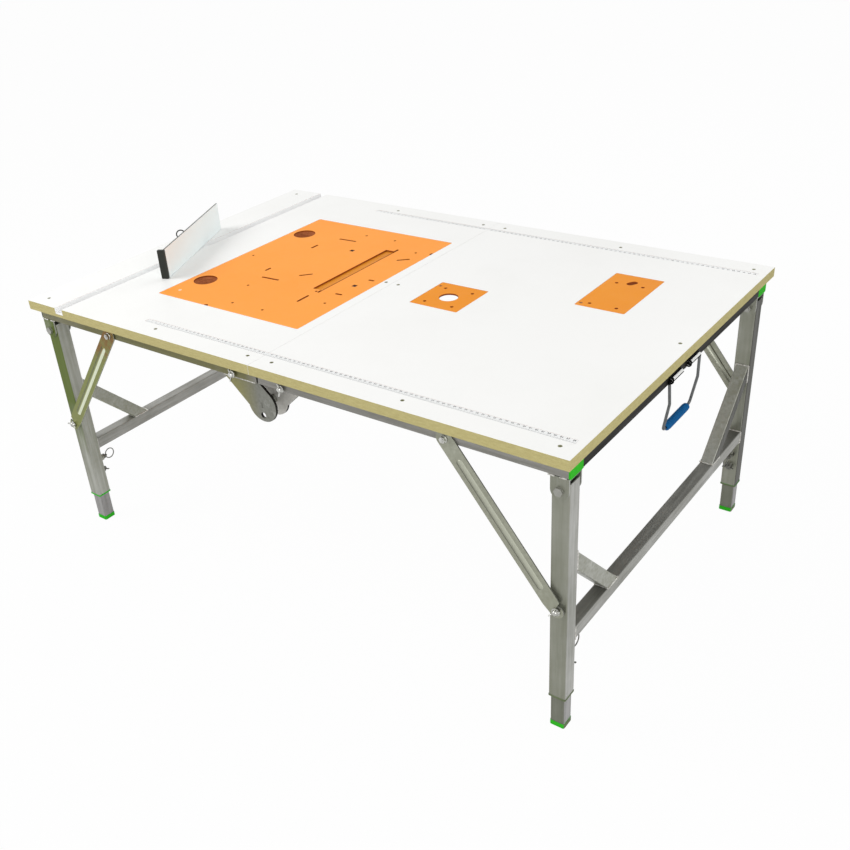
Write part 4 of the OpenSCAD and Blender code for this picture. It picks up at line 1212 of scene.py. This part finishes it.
@dataclass
class Handle:
    """The carry handle: a bent wire, a ribbed grip, two clips and two bushes."""

    wire_r: float = 2.5 * MM
    inner_y: float = 15.5 * MM
    pivot: Triple = (595.8 * MM, 61 * MM, 495 * MM)
    knee: Triple = (597.2 * MM, 57 * MM, 454 * MM)
    corner: Triple = (587.8 * MM, 54 * MM, 401 * MM)
    bends: Triple = (3.4 * MM, 14 * MM, 9 * MM)
    bend_steps: int = 7
    grip_r: float = 7 * MM
    grip_half: float = 43 * MM
    grip_plain: float = 8 * MM
    groove: float = 0.55 * MM
    ribs: int = 13
    bush_y: float = 19 * MM
    bush_z: float = 490.5 * MM

    def bent(self, points: list[Vector], bends: list[float]) -> list[Vector]:
        """Rounds the corners of a line of points.

        Args:
            points: The line's points.
            bends: Bend radius at each inner point.

        Returns:
            The points of the rounded line.
        """
        line = [points[0]]
        for before, at, after, bend in zip(points, points[1:], points[2:], bends):
            come = (at - before).normalized()
            go = (after - at).normalized()
            cut = bend * math.tan(come.angle(go) / 2)
            first, last = at - come * cut, at + go * cut
            for i in range(self.bend_steps + 1):
                t = i / self.bend_steps
                line.append(first * (1 - t) ** 2 + at * 2 * t * (1 - t) + last * t ** 2)
        return line + [points[-1]]

    def wire(self) -> None:
        """Bends the wire from one curve and makes it a mesh."""
        right = [Vector((self.pivot[0], self.inner_y, self.pivot[2]))]
        right += [Vector(at) for at in (self.pivot, self.knee, self.corner)]
        left = [Vector((at.x, -at.y, at.z)) for at in reversed(right)]
        line = self.bent(right + left, [*self.bends, *reversed(self.bends)])
        deselect()
        bpy.ops.curve.primitive_bezier_curve_add()
        curve = newest().data
        curve.splines.clear()
        spline = curve.splines.new("POLY")
        spline.points.add(len(line) - 1)
        for point, at in zip(spline.points, line):
            point.co = (*at, 1)
        curve.bevel_depth = self.wire_r
        curve.bevel_resolution = 6
        curve.use_fill_caps = True
        bpy.ops.object.convert(target="MESH")
        piece = newest()
        piece.name = "handle_bail_finished"
        close_up(piece)
        smooth(piece, 50)
        # The wire is black at its inner ends, to match the bushes, and as painted shade where it runs in the
        # clips.
        stand_in(
            piece, "handle_bail", WIRE_STEEL, RUBBER_AND_SHADE,
            choose=lambda middle, _normal: int(abs(middle.y) < self.bush_y or middle.z > self.bush_z)
        )

    def grip(self) -> None:
        """Turns the grip with its ribs and lays it along the wire."""
        r, half = self.grip_r, self.grip_half
        nose = [(r - 3.4 * MM, half), (r - 1.8 * MM, half - 0.6 * MM), (r - 0.6 * MM, half - 2 * MM)]
        pitch = 2 * (half - self.grip_plain) / self.ribs
        low = r - self.groove
        ribs = [
            (radius, -half + self.grip_plain + i * pitch + share * pitch) for i in range(self.ribs)
            for radius, share in ((r, 0.12), (r, 0.62), (low, 0.8), (low, 0.94))
        ]
        profile = [(radius, -z) for radius, z in nose] + ribs + [(r, half - 7 * MM)] + nose[::-1]
        piece = turned(profile)
        piece.name = "handle_grip_finished"
        place = Matrix.Translation((self.corner[0], 0, self.corner[2]))
        piece.data.transform(place @ Matrix.Rotation(-math.pi / 2, 4, "X"))
        smooth(piece, 40)
        stand_in(piece, "handle_grip", BLUE)

    def make(self) -> None:
        """Builds the whole handle."""
        def choose(middle: Vector, normal: Vector) -> int:
            """Finds whether a face of a clip takes painted shade (its plate, and faces of its curl that face
            sideways or down) or a painted highlight (faces of its curl that face up).
            """
            return int(middle.z > self.pivot[2] + 4 * MM or normal.z <= 0.2)

        self.wire()
        self.grip()
        SoftEdges(0.3 * MM).make("handle_clips", LIT_TOP_ZINC, RUBBER_AND_SHADE, choose=choose)
        SoftEdges(0.15 * MM, 1).make("handle_bushes", RUBBER_AND_SHADE)


@dataclass
class Fence:
    """The fence with its foot, end cap, sliding bar and ring knob."""

    soft: float = 0.35 * MM
    sawn: float = 1 * MM

    def make(self) -> None:
        """Builds the five pieces along the mitre track."""
        SoftEdges(0.3 * MM).make("mitre_track", TRACK_METAL)
        SoftEdges(self.soft).make("fence_slider", TRACK_METAL)
        top = box_of("fence_bar")[1].z - self.sawn
        # The bar's upward faces along its top take the darker grey.
        SoftEdges(self.soft).make(
            "fence_bar", ALUMINIUM, DARK_TOP_ALUMINIUM,
            choose=lambda middle, normal: int(middle.z > top and normal.z > 0.3)
        )
        SoftEdges(0.8 * MM, 3).make("fence_end_cap", BLACK_AND_SHADE)
        knob = copy_of("fence_knob")
        smooth(knob, 40)
        stand_in(knob, "fence_knob", BLACK_AND_SHADE)


@dataclass
class Fittings:
    """Braces, plungers, feet and their caps at the four corners."""

    brace_turns: dict[Side, float] = field(default_factory=lambda: {Side.LEFT: -12, Side.RIGHT: -38})
    stow_turn: float = 90
    screws: WingScrews = field(default_factory=WingScrews)

    def make(self, corner: Corner) -> None:
        """Builds all the moving fittings of one corner."""
        # Painted shade on the braces' cut edges, for the gap between brace and leg.
        SoftEdges(0.35 * MM).make(
            corner.node("brace"), BRACE_FINISH[corner.side], SHADED_GREY_STEEL,
            choose=lambda _middle, normal: int(abs(normal.y) < 0.3)
        )
        # Painted shade on the right caps' faces that face +X.
        SoftEdges(0.5 * MM).make(
            corner.node("foot_cap"), GREEN, GREYED_GREEN,
            choose=lambda _middle, normal: int(corner.side is Side.RIGHT and normal.x > 0.7)
        )
        SoftEdges(0.25 * MM).make(corner.node("plunger"), DULL_PLATE)
        SoftEdges(0.35 * MM).make(corner.node("foot"), FOOT_STEEL)
        self.screws.make(corner.node("foot_clamp"), 0, True, DULL_PLATE)
        self.screws.make(corner.node("brace_screw"), math.radians(self.brace_turns[corner.side]), False)
        self.screws.make(corner.node("stow_screw"), math.radians(self.stow_turn), False)


@dataclass
class Studio:
    """Floor, lights and the camera at the photograph's viewpoint."""

    eye: Triple = (1.1435, -1.4448, 1.2559)
    turn: Triple = (2.04578, 0.63348, -0.44939)
    focal_px: float = 1015.18
    centre_px: tuple[float, float] = (395.04, 450.93)
    frame_px: float = 850
    sensor: float = 36
    sky: float = 0.56
    white_floor: float = 0.97
    paper: float = 0.72
    target: Triple = (0, 0, 0.3)
    lamps: tuple[tuple[str, Triple, float, float], ...] = (
        ("key", (-2.2, -1.6, 2.6), 2.0, 57),
        ("fill", (2.6, -1.8, 1.8), 2.4, 38),
        ("back", (0.4, 2.8, 2.4), 2.0, 17),
    )

    def camera(self) -> None:
        """Sets the camera by the turn and focal length solved from the table's own points."""
        turn = Vector(self.turn)
        right, down, ahead = Matrix.Rotation(turn.length, 3, turn.normalized())
        data = bpy.data.cameras.new("camera")
        data.sensor_width = self.sensor
        data.lens = self.focal_px / self.frame_px * self.sensor
        half = self.frame_px / 2
        data.shift_x = (half - self.centre_px[0]) / self.frame_px
        data.shift_y = (self.centre_px[1] - half) / self.frame_px
        data.clip_end = 60
        camera = bpy.data.objects.new("camera", data)
        columns = Matrix((right, -down, -ahead)).transposed()
        camera.matrix_world = Matrix.Translation(self.eye) @ columns.to_4x4()
        bpy.context.scene.collection.objects.link(camera)
        bpy.context.scene.camera = camera

    def lamp(self, name: str, place: Vector, size: float, watts: float) -> None:
        """Adds one soft area lamp that faces the table."""
        data = bpy.data.lights.new(name, "AREA")
        data.shape = "DISK"
        data.size = size
        data.energy = watts
        lamp = bpy.data.objects.new(name, data)
        lamp.location = place
        lamp.rotation_euler = (Vector(self.target) - place).to_track_quat("-Z", "Y").to_euler()
        bpy.context.scene.collection.objects.link(lamp)

    def seen(self, sheet: Sheet, share: float = 1.0) -> Socket:
        """Finds the rays on which the background shows as white: camera, mirror and glass rays."""
        path = sheet.node("LightPath").outputs
        total = path["Is Camera Ray"]
        for name in ("Is Glossy Ray", "Is Transmission Ray"):
            total = sheet.sum_of("ADD", total, path[name], clamp=True)
        return sheet.times(total, share)

    def world(self) -> None:
        """Lights the scene evenly, and shows white behind the object."""
        world = bpy.data.worlds.new("studio")
        bpy.context.scene.world = world
        sheet = Sheet.of(world)
        sky, white = (
            sheet.node("Background", Color=WHITE, Strength=strength).outputs["Background"]
            for strength in (self.sky, 1.0)
        )
        sheet.node("OutputWorld", Surface=sheet.mix_shaders(self.seen(sheet), sky, white))

    def floor(self) -> None:
        """Lays a wide pale floor that keeps a soft shadow."""
        deselect()
        bpy.ops.mesh.primitive_plane_add(size=40)
        floor = newest()
        floor.name = "floor"
        material = bpy.data.materials.new("pale_floor")
        sheet = Sheet.of(material)
        paper = sheet.node("BsdfDiffuse", Color=(self.paper, self.paper, self.paper, 1)).outputs["BSDF"]
        glow = sheet.node("Emission", Color=WHITE).outputs["Emission"]
        mixed = sheet.mix_shaders(self.seen(sheet, self.white_floor), paper, glow)
        sheet.node("OutputMaterial", Surface=mixed)
        floor.data.materials.append(material)

    def build(self) -> None:
        """Sets up everything round the object."""
        bpy.context.scene.view_settings.view_transform = "Standard"
        self.world()
        self.floor()
        for name, place, size, watts in self.lamps:
            self.lamp(name, Vector(place), size, watts)
        self.camera()


def main() -> None:
    """Builds and dresses every piece, then the studio round them."""
    logging.basicConfig(level=logging.INFO, format="%(message)s")
    frames, rulers, fittings, plates = Frames(), Rulers(), Fittings(), Plates()
    for side in Side:
        Boards().make(side)
        TopScrews().make(side)
        frames.top_frame(side)
        frames.leg_frame(side)
        rulers.make(side)
        SoftEdges(0.15 * MM, 1).make(f"{side.word}_rulers", RULE)
        # Painted shade: the sides of the left rail plugs are black.
        SoftEdges(0.7 * MM, 3).make(
            f"{side.word}_rail_plugs", GREEN, BLACK_AND_SHADE,
            choose=lambda _middle, normal: int(side is Side.LEFT and abs(normal.x) < 0.7)
        )
        # Painted shade on the hinge plates' edges that face +X.
        SoftEdges(0.6 * MM).make(
            f"{side.word}_hinge_plates", HINGE_FINISH[side], PAINTED_SHADE_STEEL,
            choose=lambda _middle, normal: int(normal.x > 0.3 and abs(normal.y) < 0.5)
        )
    SoftEdges(0.45 * MM).make(
        "left_bolts", BOLT, HINGE_FINISH[Side.LEFT], CHROME,
        choose=lambda middle, _normal: 1 if abs(middle.x) < 20 * MM else 2 * int(abs(middle.x) < 500 * MM)
    )
    SoftEdges(0.45 * MM).make(
        "right_bolts", BOLT, CHROME, choose=lambda middle, _normal: int(middle.x < 500 * MM)
    )
    plates.make("saw_plate", ORANGE)
    plates.make("router_plate", SMALL_ORANGE)
    plates.make("jigsaw_plate", SMALL_ORANGE)
    plates.screws()
    Handle().make()
    Fence().make()
    for side in Side:
        for end in End:
            fittings.make(Corner(side, end))
    for patterns in (frames.beads, rulers, fittings.screws):
        patterns.clear()
    Studio().build()


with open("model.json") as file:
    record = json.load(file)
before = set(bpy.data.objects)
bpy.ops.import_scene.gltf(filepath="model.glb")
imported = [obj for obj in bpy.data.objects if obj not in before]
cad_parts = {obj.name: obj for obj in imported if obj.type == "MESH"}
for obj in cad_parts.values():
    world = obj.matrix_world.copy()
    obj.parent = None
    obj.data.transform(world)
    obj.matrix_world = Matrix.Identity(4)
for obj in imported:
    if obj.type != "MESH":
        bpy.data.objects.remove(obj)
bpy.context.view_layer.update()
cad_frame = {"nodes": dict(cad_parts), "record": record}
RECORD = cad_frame["record"]
BODY_OF: dict[str, str] = {
    node: body for body, nodes in RECORD["behaviour"]["bodies"].items() for node in nodes
}
SLOT_OF: dict[str, str] = {part["node"]: part["material_slot"] for part in RECORD["subparts"]}

if __name__ == "__main__":
    main()
